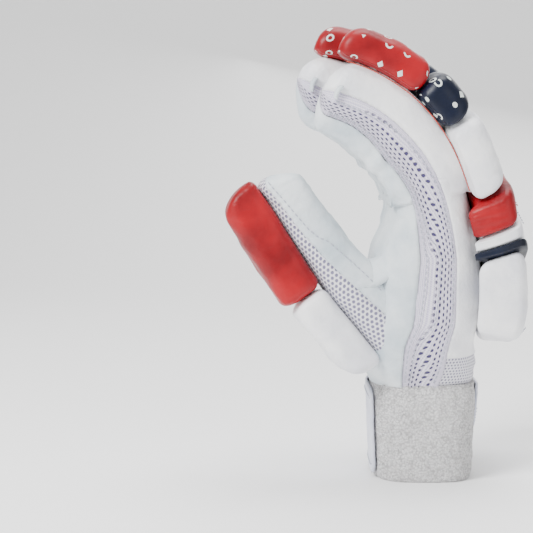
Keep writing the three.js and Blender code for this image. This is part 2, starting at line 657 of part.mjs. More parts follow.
const strapLayer = cuffTube(SEAM_GAP + STRAP_THICKNESS, 0, cuffTop)
  .subtract(cuffTube(SEAM_GAP, -1, cuffTop + 1));
const strapParts = strapCutter(STRAP_TAB, CUFF_CENTRE_X, CUFF_DEPTH)
  .add(strapCutter(STRAP_PALM, -CUFF_DEPTH, CUFF_CENTRE_X + 1));
const closureStrap = mainBody(strapLayer.intersect(strapParts));

// Folded leather tabs at the fingertips, on the index side of each stall
const TAB = { from: 0.95, to: 0.2, low: 0.3, high: 0.8 };
function tipTab(finger) {
  const side = fingerSide(finger, finger.end - TAB.from);
  const skin = fingerStall(finger, -SEAM_GAP - TAB_THICKNESS).subtract(handGrown);
  const space = depthRibbon(
    () => TAB.low, () => TAB.high, finger.end - TAB.from, finger.end - TAB.to,
    side.middle - side.width, side.middle - side.width * 0.3,
  );
  return mainBody(skin.intersect(space));
}

// The group: one named mesh for each piece
const group = new THREE.Group();
function addPiece(name, solid, finish) {
  const body = solid.getMesh();
  const geometry = new THREE.BufferGeometry();
  geometry.setAttribute('position', new THREE.BufferAttribute(new Float32Array(body.vertProperties), 3));
  geometry.setIndex(new THREE.BufferAttribute(new Uint32Array(body.triVerts), 1));
  const mesh = new THREE.Mesh(geometry, new THREE.MeshStandardMaterial(COLOURS[finish]));
  mesh.name = name;
  group.add(mesh);
}

// A skin of the whole hand, parted at a seam across the roots of the fingers
function addAtRoots(skin, handName, fingerName, finish) {
  const everywhere = [() => -EDGE_REACH, () => 1 + EDGE_REACH];
  const below = depthRibbon(...everywhere, -1, ROOT_SEAM, -WIDE, WIDE);
  const above = depthRibbon(...everywhere, ROOT_SEAM + 0.02, LAST_STATION + BEYOND_TIP, -WIDE, WIDE);
  addPiece(handName, mainBody(skin.intersect(below)), finish);
  const stalls = skin.intersect(above).decompose().filter((body) => body.volume() > SPECK_EDGE ** 3);
  stalls.sort((a, b) => a.boundingBox().min[1] - b.boundingBox().min[1]);
  stalls.forEach((body, k) => addPiece(`${FINGERS[k].name}_${fingerName}`, body, finish));
}

addPiece('cuff', cuff, 'towelling');
addPiece('closure_strap', closureStrap, 'leather');
addPiece('wrist_mesh', mainBody(handShell.intersect(wristSpace)), 'mesh');
addAtRoots(handShell.intersect(palmSpace), 'palm_leather', 'finger_leather', 'leather');
addAtRoots(whiteLeather, 'back_leather', 'finger_back', 'white');
const GUSSET_NAMES = ['index', 'index_middle', 'middle_ring', 'ring_little', 'little'];
const gussets = sideMesh.decompose().filter((body) => body.volume() > SPECK_EDGE ** 3);
gussets.sort((a, b) => a.boundingBox().min[1] - b.boundingBox().min[1]);
gussets.forEach((body, k) => addPiece(`${GUSSET_NAMES[k]}_gusset`, body, 'mesh'));
addPiece('thumb_leather', mainBody(thumbLeather), 'leather');
addPiece('thumb_mesh', mainBody(thumbMesh), 'mesh');
for (const row of THUMB_PADS) addPiece(row.name, thumbPad(row), row.colour);
for (const pad of pads) addPiece(pad.name, mainBody(pad.solid.subtract(handGrown)), pad.colour);
for (const row of ROLLS) addPiece(row.name, mainBody(fingerRoll(row).subtract(bandClearance)), row.colour);
for (const finger of FINGERS) addPiece(`${finger.name}_tip_tab`, tipTab(finger), 'leather');

// The glove stands with the middle of its outline over the origin
const outline = new THREE.Box3().setFromObject(group);
const middle = outline.getCenter(new THREE.Vector3());
for (const mesh of group.children) mesh.position.set(-middle.x, -middle.y, -outline.min.z);

export default group;
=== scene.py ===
"""A right-hand cricket batting glove, standing on its cuff.

Leather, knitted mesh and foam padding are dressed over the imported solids. Every shape is a surface
worked out in numpy in millimetres, in the solids' own frame, and written to its mesh in metres.
"""
import math

import bmesh
import bpy
import numpy as np
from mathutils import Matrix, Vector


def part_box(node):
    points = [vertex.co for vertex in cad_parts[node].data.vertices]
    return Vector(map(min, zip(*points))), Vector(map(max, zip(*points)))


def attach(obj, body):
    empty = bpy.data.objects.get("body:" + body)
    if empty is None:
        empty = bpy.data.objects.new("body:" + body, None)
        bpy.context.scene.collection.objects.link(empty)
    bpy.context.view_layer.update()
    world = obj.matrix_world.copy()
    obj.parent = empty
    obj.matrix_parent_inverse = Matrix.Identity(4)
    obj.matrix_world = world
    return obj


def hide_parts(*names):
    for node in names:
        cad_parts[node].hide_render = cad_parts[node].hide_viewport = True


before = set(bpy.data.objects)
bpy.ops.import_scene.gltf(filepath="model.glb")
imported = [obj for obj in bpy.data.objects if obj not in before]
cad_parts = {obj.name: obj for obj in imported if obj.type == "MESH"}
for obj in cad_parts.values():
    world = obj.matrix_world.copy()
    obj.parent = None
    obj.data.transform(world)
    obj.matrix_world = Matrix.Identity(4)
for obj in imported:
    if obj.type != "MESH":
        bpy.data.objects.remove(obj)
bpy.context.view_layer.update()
collection = bpy.context.scene.collection

MM = 0.001
RENDER_LEVELS = 1

# Driving sizes of the glove, in millimetres, as in its solids
CUFF_HEIGHT = 66.0
HAND_LENGTH = 218.0
HAND_DEPTH = 75.0
ROLL_WIDTH = 35.0
ROLL_THICKNESS = 24.0
PANEL_THICKNESS = 26.0
CUFF_DEPTH = 71.0
CUFF_WIDTH = 88.0
CUFF_WALL = 4.0
THUMB_LENGTH = 134.0
THUMB_DEPTH = 30.0
THUMB_WIDTH = 38.0
THUMB_ROLL_THICKNESS = 28.0
BODY_STEP = 4.0
HAND_WIDTH = 4 * ROLL_WIDTH
BODY_HALF = HAND_WIDTH / 2 - BODY_STEP
CUFF_CENTRE_Y = -0.06 * HAND_WIDTH
CUFF_SET_BACK = 0.05 * HAND_DEPTH
SQUARENESS = 3.2

# The solids stand with the middle of their outline over the origin, so the cuff gives the shift
cuff_low, cuff_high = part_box("cuff")
SHIFT_X = (cuff_low.x + cuff_high.x) / 2 / MM + CUFF_SET_BACK
CUFF_X = SHIFT_X - CUFF_SET_BACK

# Back and palm curves from the wrist seam to the middle fingertip: x is a share of the hand's
# depth, z a share of its length above the cuff. A station is about STATION_MM long.
STATION_MM = 18
BACK_X = [0.41, 0.43, 0.4, 0.44, 0.455, 0.44, 0.385, 0.295, 0.165, 0.005, -0.185, -0.385, -0.61,
          -0.86, -1.13]
BACK_Z = [0.0, 0.05, 0.12, 0.195, 0.295, 0.385, 0.48, 0.59, 0.705, 0.795, 0.865, 0.915, 0.955,
          0.98, 0.995]
PALM_X = [-0.53, -0.57, -0.58, -0.57, -0.56, -0.51, -0.42, -0.365, -0.43, -0.56, -0.69, -0.83,
          -0.97, -1.11, -1.24]
PALM_Z = [0.0, 0.05, 0.12, 0.19, 0.29, 0.385, 0.465, 0.54, 0.6, 0.645, 0.695, 0.735, 0.76, 0.785,
          0.85]
# Half width of the hand at the same stations on either side, as a share of the body's
INDEX_SIDE = [0.78, 0.88, 0.97] + [1.0] * 12
LITTLE_SIDE = [0.52, 0.76, 0.95] + [1.0] * 12

# Where the palm leather meets the side mesh, and the mesh the white leather, from palm to back
PALM_EDGE = [0.28, 0.3, 0.33, 0.38, 0.4, 0.4, 0.33, 0.25, 0.22, 0.22, 0.24, 0.24, 0.22, 0.2, 0.2]
BACK_EDGE = [0.62, 0.66, 0.72, 0.74, 0.73, 0.73, 0.7, 0.66, 0.63, 0.62, 0.6, 0.58, 0.56, 0.55,
             0.55]
LAST = len(BACK_X) - 1

# Fingers: middle of the roll at the root and at the tip, and width at the tip, in roll widths; the
# station where the stall ends; and the side of the hand that it lies on, 0 between two others
FINGERS = {
    "index": dict(root=-1.5, tip=-1.53, tip_width=0.8, end=13.0, side=-1),
    "middle": dict(root=-0.5, tip=-0.62, tip_width=0.82, end=14.0, side=0),
    "ring": dict(root=0.5, tip=0.3, tip_width=0.9, end=13.7, side=0),
    "little": dict(root=1.5, tip=1.24, tip_width=0.84, end=12.6, side=1),
}
FINGER_ROOT = 7.0
STALL_SHARE = 0.86


def lerp(a, b, t):
    """A value on the straight way from a to b, at the share t."""
    return a + (b - a) * t


def smoothstep(low, high, x):
    """A share that eases from 0 at low to 1 at high, level at both."""
    t = np.clip((x - low) / (high - low), 0.0, 1.0)
    return t * t * (3.0 - 2.0 * t)


def column(values, s):
    """A column of plain numbers read between its stations."""
    return np.interp(s, np.arange(len(values)), values)


def hand_points(xs, zs):
    """Points of one hand curve, with one more at each end in line with the last two."""
    points = np.stack([np.array(xs) * HAND_DEPTH + SHIFT_X,
                       np.array(zs) * HAND_LENGTH + CUFF_HEIGHT], 1)
    return np.concatenate([[2 * points[0] - points[1]], points, [2 * points[-1] - points[-2]]])


BACK_POINTS = hand_points(BACK_X, BACK_Z)
PALM_POINTS = hand_points(PALM_X, PALM_Z)


def on_curve(points, s):
    """Catmull-Rom curve through the points at stations s, running straight on beyond its ends."""
    s = np.asarray(s, float)
    inside = np.clip(s, 0, LAST)
    i = np.minimum(inside.astype(int), LAST - 1)
    w = (inside - i)[..., None]
    p0, p1, p2, p3 = (points[i + k] for k in range(4))
    t0, t1 = (p2 - p0) / 2, (p3 - p1) / 2
    value = p1 + w * t0 + w**2 * (3 * (p2 - p1) - 2 * t0 - t1) + w**3 * (2 * (p1 - p2) + t0 + t1)
    ends = np.where((s > LAST)[..., None], points[-1] - points[-2], points[1] - points[0])
    return value + (s - inside)[..., None] * ends


def back_frame(s):
    """Point, way along and way out of the back curve at stations s, in the XZ plane."""
    point = on_curve(BACK_POINTS, s)
    along = on_curve(BACK_POINTS, s + 0.05) - on_curve(BACK_POINTS, s - 0.05)
    along /= np.linalg.norm(along, axis=-1, keepdims=True)
    out = np.stack([along[..., 1], -along[..., 0]], -1)
    return point, along, out


def finger_side(name, s):
    """Middle and width of a finger's roll at stations s."""
    row = FINGERS[name]
    share = np.clip((s - FINGER_ROOT) / (LAST - FINGER_ROOT), 0, 1)
    middle = lerp(row["root"], row["tip"], share) * ROLL_WIDTH
    return middle, lerp(1.0, row["tip_width"], share) * ROLL_WIDTH


def ripple(x, y, seed, scale):
    """Soft uneven waves between -1 and 1: a sum of five sines whose directions and phases are drawn
    by chance. The first is scale millimetres long, and each next one is shorter and lower."""
    rng = np.random.default_rng(seed)
    total = np.zeros(np.broadcast(x, y).shape)
    for k in range(5):
        turn, phase = rng.uniform(0, 2 * np.pi, 2)
        order = 1 + 0.6 * k
        way = x * np.cos(turn) + y * np.sin(turn)
        total += np.sin(way * (order / scale) * 2 * np.pi + phase) / order
    return total / 2.4


def fold(x, centre, width):
    """A rounded ridge of height 1 at a centre: a bell curve."""
    return np.exp(-(((x - centre) / width) ** 2))


# Materials

def srgb(text):
    """A hex colour as the linear RGBA that the shader takes."""
    values = np.array([int(text[k : k + 2], 16) for k in (0, 2, 4)]) / 255
    linear = np.where(values <= 0.04045, values / 12.92, ((values + 0.055) / 1.055) ** 2.4)
    return (*linear.tolist(), 1.0)


def add(tree, kind, inputs, out=0, **settings):
    """Adds a node, feeds its inputs from sockets or plain values, and gives one of its outputs."""
    node = tree.nodes.new("ShaderNode" + kind)
    for name, value in settings.items():
        setattr(node, name, value)
    for name, value in inputs.items():
        if isinstance(value, bpy.types.NodeSocket):
            tree.links.new(value, node.inputs[name])
        else:
            node.inputs[name].default_value = value
    return node.outputs[out] if len(node.outputs) else None


def finished(name, slot, build, **values):
    """A material whose build gives the shader's uneven sockets from the piece's place in
    millimetres and its UV map. Values that are the same all over sit on the shader itself."""
    material = bpy.data.materials.new(name)
    material.use_nodes = True
    material.node_tree.nodes.clear()

    def node(kind, inputs, **settings):
        return add(material.node_tree, kind, inputs, **settings)

    place = node("TexCoord", {}, out="Object")
    place = node("VectorMath", {0: place, "Scale": 1 / MM}, operation="SCALE")
    sockets = build(node, place, node("TexCoord", {}, out="UV"))
    node("OutputMaterial", {"Surface": node("BsdfPrincipled", {"IOR": 1.5, **values, **sockets})})
    return material, slot


# Pattern sizes of the finishes, in millimetres. Leather grain and towelling loops are about twice
# as coarse as real ones, so that they show in the render.
BLOTCH = 34
CREASE = 8
GRAINS_PER_MM = 1.1
LOOPS_PER_MM = 0.62
PRINT_PITCH = 13.0
PRINT_JITTER = 0.34
RING_RADIUS, RING_HALF_LINE = 1.8, 0.5
DOT_RADIUS = 1.5
DIAMOND_HALF = 2.0
DOTS, DOTS_AND_DIAMONDS = 0.28, 0.6
RIB_HOLE_ACROSS, RIB_HOLE_ALONG = 3.1, 4.2
RIB_HOLE_FULL, RIB_HOLE_EDGE = 0.72, 1.05
RIB_BAND_MIDDLES = 11.5, 18.5
RIB_BAND_FULL, RIB_BAND_EDGE = 6.4, 8.2
ROW_SPACING = 0.87
PRINT_INK = "D3DAD6"


def leather(light, dark, rough, grain, crease):
    """Coated leather: a pebble grain over soft creases, in broad patches of lighter and darker
    colour, and a little rougher in the hollows.
    grain and crease are their heights in millimetres."""
    def build(node, place, uv):
        blotch = node("TexNoise", {"Vector": place, "Scale": 1 / BLOTCH, "Detail": 4.0})
        tone = node("MapRange", {0: blotch, "From Min": 0.34, "From Max": 0.6})
        soft = node("TexNoise", {"Vector": place, "Scale": 1 / CREASE, "Detail": 4.0,
                                 "Roughness": 0.55})
        cells = node("TexVoronoi", {"Vector": place, "Scale": GRAINS_PER_MM}, out="Distance",
                     feature="SMOOTH_F1")
        low = node("Bump", {"Height": soft, "Distance": crease * MM})
        fine = node("Bump", {"Height": cells, "Distance": grain * MM, "Normal": low}, invert=True)
        wear = node("MapRange", {0: soft, "To Min": rough - 0.08, "To Max": rough + 0.1})
        colour = node("Mix", {0: tone, 6: srgb(dark), 7: srgb(light)}, out=2, data_type="RGBA")
        return {"Base Color": colour, "Normal": fine, "Roughness": wear}
    return build


def printed(light, dark, rough):
    """Coloured coated leather, screen printed with rings, diamonds and dots: one in each square
    cell of PRINT_PITCH millimetres, moved off the middle of its cell by chance. A cell's chance
    number picks its figure: a dot below DOTS, a diamond below DOTS_AND_DIAMONDS, else a ring."""
    plain = leather(light, dark, rough, 0.03, 0.3)

    def build(node, place, uv):
        sockets = plain(node, place, uv)
        cells = node("VectorMath", {0: uv, "Scale": 1 / PRINT_PITCH}, operation="SCALE")
        corner = node("VectorMath", {0: cells}, operation="FLOOR")
        chance = node("TexWhiteNoise", {"Vector": corner}, out="Color", noise_dimensions="2D")
        inside = node("VectorMath", {0: cells}, operation="FRACTION")
        spot = node("VectorMath", {0: chance, 1: [PRINT_JITTER] * 3,
                                   2: [0.5 - PRINT_JITTER / 2] * 3}, operation="MULTIPLY_ADD")
        away = node("VectorMath", {0: inside, 1: spot}, operation="SUBTRACT")
        away = node("VectorMath", {0: away, 1: [PRINT_PITCH, PRINT_PITCH, 0.0]},
                    operation="MULTIPLY")
        far = node("VectorMath", {0: away}, out="Value", operation="LENGTH")
        ring = node("Math", {0: far, 1: RING_RADIUS, 2: RING_HALF_LINE}, operation="COMPARE")
        dot = node("Math", {0: far, 1: DOT_RADIUS}, operation="LESS_THAN")
        folded = node("VectorMath", {0: away}, operation="ABSOLUTE")
        across = node("VectorMath", {0: folded, 1: [0.72, 1.05, 0.0]}, out="Value",
                      operation="DOT_PRODUCT")
        diamond = node("Math", {0: across, 1: DIAMOND_HALF}, operation="LESS_THAN")
        luck = node("SeparateColor", {0: chance}, out=2)
        few = node("Math", {0: luck, 1: DOTS}, operation="LESS_THAN")
        most = node("Math", {0: luck, 1: DOTS_AND_DIAMONDS}, operation="LESS_THAN")
        figure = node("Mix", {0: few, 2: diamond, 3: dot})
        figure = node("Mix", {0: most, 2: ring, 3: figure})
        colour = node("Mix", {0: figure, 6: sockets["Base Color"], 7: srgb(PRINT_INK)}, out=2,
                      data_type="RGBA")
        return {**sockets, "Base Color": colour}
    return build


def rib_knit(node, place, uv):
    """Stretch rib knit: fine ribs along the strip, darkened in their furrows by painted shade, and
    plain at its edges. Staggered rows of drop-shaped holes run down its middle, painted dark purple
    as painted shade of the glove's inside seen through them. The band of holes wanders a little from
    side to side. U runs across the strip, V along it."""
    u = node("SeparateXYZ", {0: uv}, out=0)
    v = node("SeparateXYZ", {0: uv}, out=1)
    row = node("Math", {0: u, 1: RIB_HOLE_ACROSS}, operation="DIVIDE")
    row = node("Math", {0: row}, operation="FLOOR")
    odd = node("Math", {0: row, 1: 2.0}, operation="FLOORED_MODULO")
    shifted = node("Math", {0: odd, 1: RIB_HOLE_ALONG / 2, 2: v}, operation="MULTIPLY_ADD")
    du = node("Math", {0: u, 1: RIB_HOLE_ACROSS}, operation="FLOORED_MODULO")
    dv = node("Math", {0: shifted, 1: RIB_HOLE_ALONG}, operation="FLOORED_MODULO")
    spot = node("CombineXYZ", {0: du, 1: dv})
    spot = node("VectorMath", {0: spot, 1: [RIB_HOLE_ACROSS / 2, RIB_HOLE_ALONG / 2, 0.0]},
                operation="SUBTRACT")
    spot = node("VectorMath", {0: spot, 1: [1.3, 0.75, 0.0]}, operation="MULTIPLY")
    far = node("VectorMath", {0: spot}, out="Value", operation="LENGTH")
    shaded_hole = node("MapRange", {0: far, "From Min": RIB_HOLE_FULL, "From Max": RIB_HOLE_EDGE,
                             "To Min": 1.0, "To Max": 0.0})
    drift = node("TexNoise", {"Vector": place, "Scale": 1 / 18, "Detail": 1.0})
    centre = node("MapRange", {0: drift, "To Min": RIB_BAND_MIDDLES[0],
                               "To Max": RIB_BAND_MIDDLES[1]})
    band = node("Math", {0: u, 1: centre}, operation="SUBTRACT")
    band = node("Math", {0: band}, operation="ABSOLUTE")
    within = node("MapRange", {0: band, "From Min": RIB_BAND_FULL, "From Max": RIB_BAND_EDGE,
                               "To Min": 1.0, "To Max": 0.0})
    shaded_hole = node("Math", {0: shaded_hole, 1: within}, operation="MULTIPLY")
    # Ribs 1.1 mm apart, courses 1.5 mm apart: 5.9 and 4.2 radians of their sines a millimetre
    wale = node("Math", {0: u, 1: 5.9}, operation="MULTIPLY")
    wale = node("Math", {0: wale}, operation="SINE")
    course = node("Math", {0: v, 1: 4.2}, operation="MULTIPLY")
    course = node("Math", {0: course}, operation="SINE")
    loop = node("Math", {0: wale, 1: course}, operation="MULTIPLY")
    knit = node("Math", {0: wale, 1: 1.2, 2: loop}, operation="MULTIPLY_ADD")
    # The yarn's colour follows the ribs' height: painted shade, darker in the furrows between the
    # ribs
    tone = node("MapRange", {0: knit, "From Min": -1.6, "From Max": 1.6})
    yarn = node("Mix", {0: tone, 6: srgb("BDB4D2"), 7: srgb("EDEAF3")}, out=2, data_type="RGBA")
    # Painted shade: the holes are painted dark purple for the glove's shaded inside seen through
    # them
    colour = node("Mix", {0: shaded_hole, 6: yarn, 7: srgb("3C355F")}, out=2, data_type="RGBA")
    ribs = node("Bump", {"Height": tone, "Distance": 0.3 * MM})
    pits = node("Bump", {"Height": shaded_hole, "Distance": 0.9 * MM, "Normal": ribs}, invert=True)
    return {"Base Color": colour, "Normal": pits}


def air_mesh(light, dark, pitch, share):
    """Warp-knitted air mesh: a net of round holes in staggered rows, pitch millimetres apart and
    about share of the pitch in radius. The holes are painted grey as painted shade inside them."""
    spacing = pitch * ROW_SPACING

    def build(node, place, uv):
        u = node("SeparateXYZ", {0: uv}, out=0)
        v = node("SeparateXYZ", {0: uv}, out=1)
        row = node("Math", {0: v, 1: spacing}, operation="DIVIDE")
        row = node("Math", {0: row}, operation="FLOOR")
        odd = node("Math", {0: row, 1: 2.0}, operation="FLOORED_MODULO")
        shifted = node("Math", {0: odd, 1: pitch / 2, 2: u}, operation="MULTIPLY_ADD")
        du = node("Math", {0: shifted, 1: pitch}, operation="FLOORED_MODULO")
        dv = node("Math", {0: v, 1: spacing}, operation="FLOORED_MODULO")
        spot = node("CombineXYZ", {0: du, 1: dv})
        far = node("VectorMath", {0: spot, 1: [pitch / 2, spacing / 2, 0.0]}, out="Value",
                   operation="DISTANCE")
        shaded_hole = node("MapRange", {0: far, "From Min": share * pitch * 0.75,
                                 "From Max": share * pitch * 1.15, "To Min": 1.0, "To Max": 0.0})
        strand = node("TexNoise", {"Vector": place, "Scale": 1.3, "Detail": 3.0})
        yarn = node("Mix", {0: strand, 6: srgb(dark), 7: srgb(light)}, out=2, data_type="RGBA")
        # Painted shade: the holes are painted grey for the shade inside them
        colour = node("Mix", {0: shaded_hole, 6: yarn, 7: srgb("77748F")}, out=2, data_type="RGBA")
        fibre = node("Bump", {"Height": strand, "Distance": 0.15 * MM})
        pits = node("Bump", {"Height": shaded_hole, "Distance": 0.7 * MM, "Normal": fibre}, invert=True)
        return {"Base Color": colour, "Normal": pits}
    return build


def terry(node, place, uv):
    """Looped cotton towelling: a close mass of small loops, matt, with painted shade that darkens
    the hollows between the loops, in soft patches where the pile lies down."""
    loops = node("TexVoronoi", {"Vector": place, "Scale": LOOPS_PER_MM}, out="Distance")
    fuzz = node("TexNoise", {"Vector": place, "Scale": 1.4, "Detail": 4.0, "Roughness": 0.7})
    patches = node("TexNoise", {"Vector": place, "Scale": 0.16, "Detail": 3.0})
    loop = node("MapRange", {0: loops, "From Max": 0.8, "To Min": 1.0, "To Max": 0.0})
    height = node("Math", {0: fuzz, 1: 0.9, 2: loop}, operation="MULTIPLY_ADD")
    # The colour follows the loops' height: painted shade, darker in the hollows, over soft random
    # patches
    tone = node("Math", {0: patches, 1: 0.8, 2: height}, operation="MULTIPLY_ADD")
    tone = node("MapRange", {0: tone, "From Min": 0.75, "From Max": 1.6})
    colour = node("Mix", {0: tone, 6: srgb("BDBABB"), 7: srgb("FBFAFA")}, out=2, data_type="RGBA")
    return {"Base Color": colour, "Normal": node("Bump", {"Height": height, "Distance": 1.7 * MM})}


def spun(light, dark):
    """Spun thread, printed ink or backdrop paper: one colour with a fine trace of a second."""
    def build(node, place, uv):
        fibre = node("TexNoise", {"Vector": place, "Scale": 0.9, "Detail": 4.0})
        colour = node("Mix", {0: fibre, 6: srgb(dark), 7: srgb(light)}, out=2, data_type="RGBA")
        return {"Base Color": colour}
    return build


GLOSS = {"Specular IOR Level": 0.28}
KNIT = {"Roughness": 0.85, "Sheen Weight": 0.25}
LOOKS = {
    # White coated synthetic leather of the pads: clean, finely grained, with a soft shine
    "white": finished("white coated leather", "white_pu",
                      leather("F6F6F7", "DCDDE4", 0.4, 0.03, 1.3)),
    # Thin dressed sheepskin of the palm: matt, bluish white, with handling creases
    "sheepskin": finished("dressed sheepskin", "palm_leather",
                          leather("DFE5E8", "B9C6CE", 0.6, 0.06, 1.3), **{"Sheen Weight": 0.1}),
    # Smooth coated leather of the closure strap, a little glossier
    "strap": finished("smooth strap leather", "strap_pu",
                      leather("DCDFEB", "C2C6DB", 0.36, 0.02, 0.2)),
    # Dyed coated leather: one deep even colour, with long soft highlights on its crowns
    "red": finished("red coated leather", "red_pu",
                    leather("A00D19", "71050E", 0.4, 0.03, 0.8), **GLOSS),
    "navy": finished("navy coated leather", "navy_pu",
                     leather("0C152B", "070D1C", 0.38, 0.03, 0.3), **GLOSS),
    # The same leather screen printed: pale flat figures that bend with the roll
    "red print": finished("red printed leather", "red_pu", printed("9E0C18", "70040D", 0.4),
                          **GLOSS),
    "navy print": finished("navy printed leather", "navy_pu", printed("0D1730", "070D1D", 0.38),
                           **GLOSS),
    # Rib knit stretched over the glove: dull and pale lilac, with painted shade in its furrows and
    # rows of holes painted dark as shade
    "knit": finished("rib knitted mesh", "knitted_gusset", rib_knit, **KNIT),
    # Warp-knitted air mesh: dull white with holes painted grey as shade, open on the thumb and fine
    # at the wrist
    "thumb mesh": finished("thumb air mesh", "air_mesh",
                           air_mesh("F3F2F6", "D6D4E0", 3.4, 0.33), **KNIT),
    "wrist mesh": finished("wrist air mesh", "air_mesh",
                           air_mesh("EFEEF3", "CFCDDA", 2.4, 0.27), **KNIT),
    # Looped cotton: quite matt, rough to the eye, mottled in pale grey, with painted shade in the
    # hollows of its loops
    "towelling": finished("cotton towelling", "towelling", terry,
                          **{"Roughness": 0.95, "Sheen Weight": 0.4}),
    # Spun sewing thread: short dashes a shade off the leather that they hold
    "grey thread": finished("grey spun thread", "white_pu", spun("B9BCC8", "9A9EAE"),
                            Roughness=0.5),
    "red thread": finished("red spun thread", "red_pu", spun("C4414B", "A32A34"), Roughness=0.5),
    # Raw cut edge of red leather: a thin dry line
    "edge cord": finished("raw red leather edge", "red_pu", spun("C2503F", "9C2A22"),
                          Roughness=0.6),
    # Printed ink of the strap's stripes: dark and matt beside the strap's shine
    "stripe": finished("matt stripe ink", "strap_pu", spun("343A5C", "262B4A"), Roughness=0.55),
    # Backdrop paper: plain white, without any shine
    "paper": finished("pale backdrop paper", "white_pu", spun("FFFFFF", "FAFAFA"), Roughness=1.0),
}


# Meshes

def smooth_mesh(name, vertices, faces, uvs=None):
    """A mesh in metres from millimetre vertices and quads; uvs has a pair for each face corner."""
    mesh = bpy.data.meshes.new(name)
    mesh.from_pydata((np.asarray(vertices) * MM).tolist(), [], np.asarray(faces).tolist())
    if uvs is not None:
        layer = mesh.uv_layers.new(name="UVMap")
        layer.data.foreach_set("uv", np.asarray(uvs, np.float32).ravel())
    mesh.polygons.foreach_set("use_smooth", np.ones(len(mesh.polygons), bool))
    mesh.update()
    return mesh


def cleaned(mesh, limit=0.02, sheet=False):
    """Merges doubles within limit millimetres. A closed form also has its faces turned outwards;
    the faces of a sheet keep the way its grid runs."""
    work = bmesh.new()
    work.from_mesh(mesh)
    bmesh.ops.remove_doubles(work, verts=work.verts, dist=limit * MM)
    if not sheet:
        bmesh.ops.dissolve_degenerate(work, dist=limit * MM / 2, edges=work.edges)
        bmesh.ops.recalc_face_normals(work, faces=work.faces)
    work.to_mesh(mesh)
    work.free()
    mesh.update()
    return mesh


def piece(name, mesh, look, replaced=()):
    """An object at the origin with its look, riding on the glove and standing for its solids."""
    thing = bpy.data.objects.new(name + "_cover" if replaced else name, mesh)
    collection.objects.link(thing)
    material, slot = LOOKS[look]
    mesh.materials.append(material)
    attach(thing, "root")
    if replaced:
        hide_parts(*replaced)
    return thing


def grid_quads(rows, columns, first=0):
    """Quads of a grid of rows by columns vertices."""
    i, j = np.meshgrid(np.arange(rows - 1), np.arange(columns - 1), indexing="ij")
    a = (first + i * columns + j).ravel()
    return np.stack([a, a + 1, a + columns + 1, a + columns], 1)


def grid_mesh(name, grids):
    """One mesh of several (points, u, v) grids; u and v in millimetres go to the UV map."""
    vertices, faces, uvs = [], [], []
    first = 0
    for points, u, v in grids:
        rows, columns = points.shape[:2]
        quads = grid_quads(rows, columns, first)
        uv = np.stack(np.broadcast_arrays(u, v, points[..., 0])[:2], -1)
        vertices.append(points.reshape(-1, 3))
        faces.append(quads)
        uvs.append(uv.reshape(-1, 2)[quads.ravel() - first])
        first += rows * columns
    return smooth_mesh(name, np.concatenate(vertices), np.concatenate(faces), np.concatenate(uvs))


def lengths_along(points, axis):
    """Running length in millimetres along one axis of a grid of points."""
    steps = np.linalg.norm(np.diff(points, axis=axis), axis=-1)
    start = np.zeros_like(np.take(steps, [0], axis=axis))
    return np.concatenate([start, np.cumsum(steps, axis=axis)], axis=axis)


def with_lengths(points):
    """A grid with its own lengths: u across the columns, v down the rows of its middle column."""
    u = lengths_along(points, 1)
    v = lengths_along(points, 0)[:, points.shape[1] // 2][:, None]
    return points, u, v


def ticks(cells):
    """Places from -1 to 1, closer together towards both ends: even steps mixed with a sine's."""
    even = np.linspace(-1, 1, cells + 1)
    eased = np.sin(np.linspace(-np.pi / 2, np.pi / 2, cells + 1))
    return eased * 0.55 + even * 0.45


def rounded_block(half, radius, cells):
    """A closed box of half sizes with rounded edges: points of a lattice on its faces, pulled onto
    the box's inner core grown by the radius. Returns points, quads and the face group of each quad,
    which is 1, 2 or 3 for the axis it faces and has the sign of its side."""
    half = np.array(half, float)
    keys, groups = [], []
    for axis in range(3):
        others = [k for k in range(3) if k != axis]
        i, j = np.meshgrid(*[np.arange(cells[k] + 1) for k in others], indexing="ij")
        for side in (0, cells[axis]):
            index = np.zeros((*i.shape, 3), int)
            index[..., others[0]], index[..., others[1]], index[..., axis] = i, j, side
            quads = grid_quads(*i.shape)
            turn = (side > 0) == (axis != 1)
            quads = quads[:, ::-1] if turn else quads
            keys.append(index.reshape(-1, 3)[quads.ravel()])
            groups.append(np.full(len(quads), (axis + 1) * (1 if side else -1)))
    keys, groups = np.concatenate(keys), np.concatenate(groups)
    unique, inverse = np.unique(keys, axis=0, return_inverse=True)
    points = np.stack([ticks(cells[k])[unique[:, k]] for k in range(3)], 1) * half
    core = np.maximum(half - np.array(radius, float), 0.0)
    inner = np.clip(points, -core, core)
    away = (points - inner) / np.maximum(half - core, 1e-6)
    size = np.linalg.norm(away, axis=1, keepdims=True)
    on_rim = np.where(size > 1e-9, 1.0, 0.0)
    points = inner + away / np.maximum(size, 1e-9) * on_rim * (half - core)
    return points, inverse.reshape(-1, 4), groups


def shares(local, half):
    """A block's points as shares: across from -1 to 1, up and along from 0 to 1."""
    return local[:, 0] / half[0], (local[:, 1] / half[1] + 1) / 2, (local[:, 2] / half[2] + 1) / 2


def to_side(across, parts):
    """A share that rises from 0 to 1 over the last 1/parts of the way to either side."""
    return np.clip(np.abs(across) * parts - (parts - 1), 0, 1)


def block_uvs(local, quads, groups, half):
    """UV in millimetres of a block laid open: its top, with the four sides folded out from it."""
    p = local[quads]
    a, h, s = p[..., 0], p[..., 1], p[..., 2]
    drop = half[1] - h
    side = (np.abs(groups) == 1)[:, None]
    end = (np.abs(groups) == 3)[:, None]
    way = np.sign(groups)[:, None]
    u = np.where(side, way * (half[0] + drop), a)
    v = np.where(end, way * (half[2] + drop), s)
    return np.stack([u, v], -1).reshape(-1, 2)


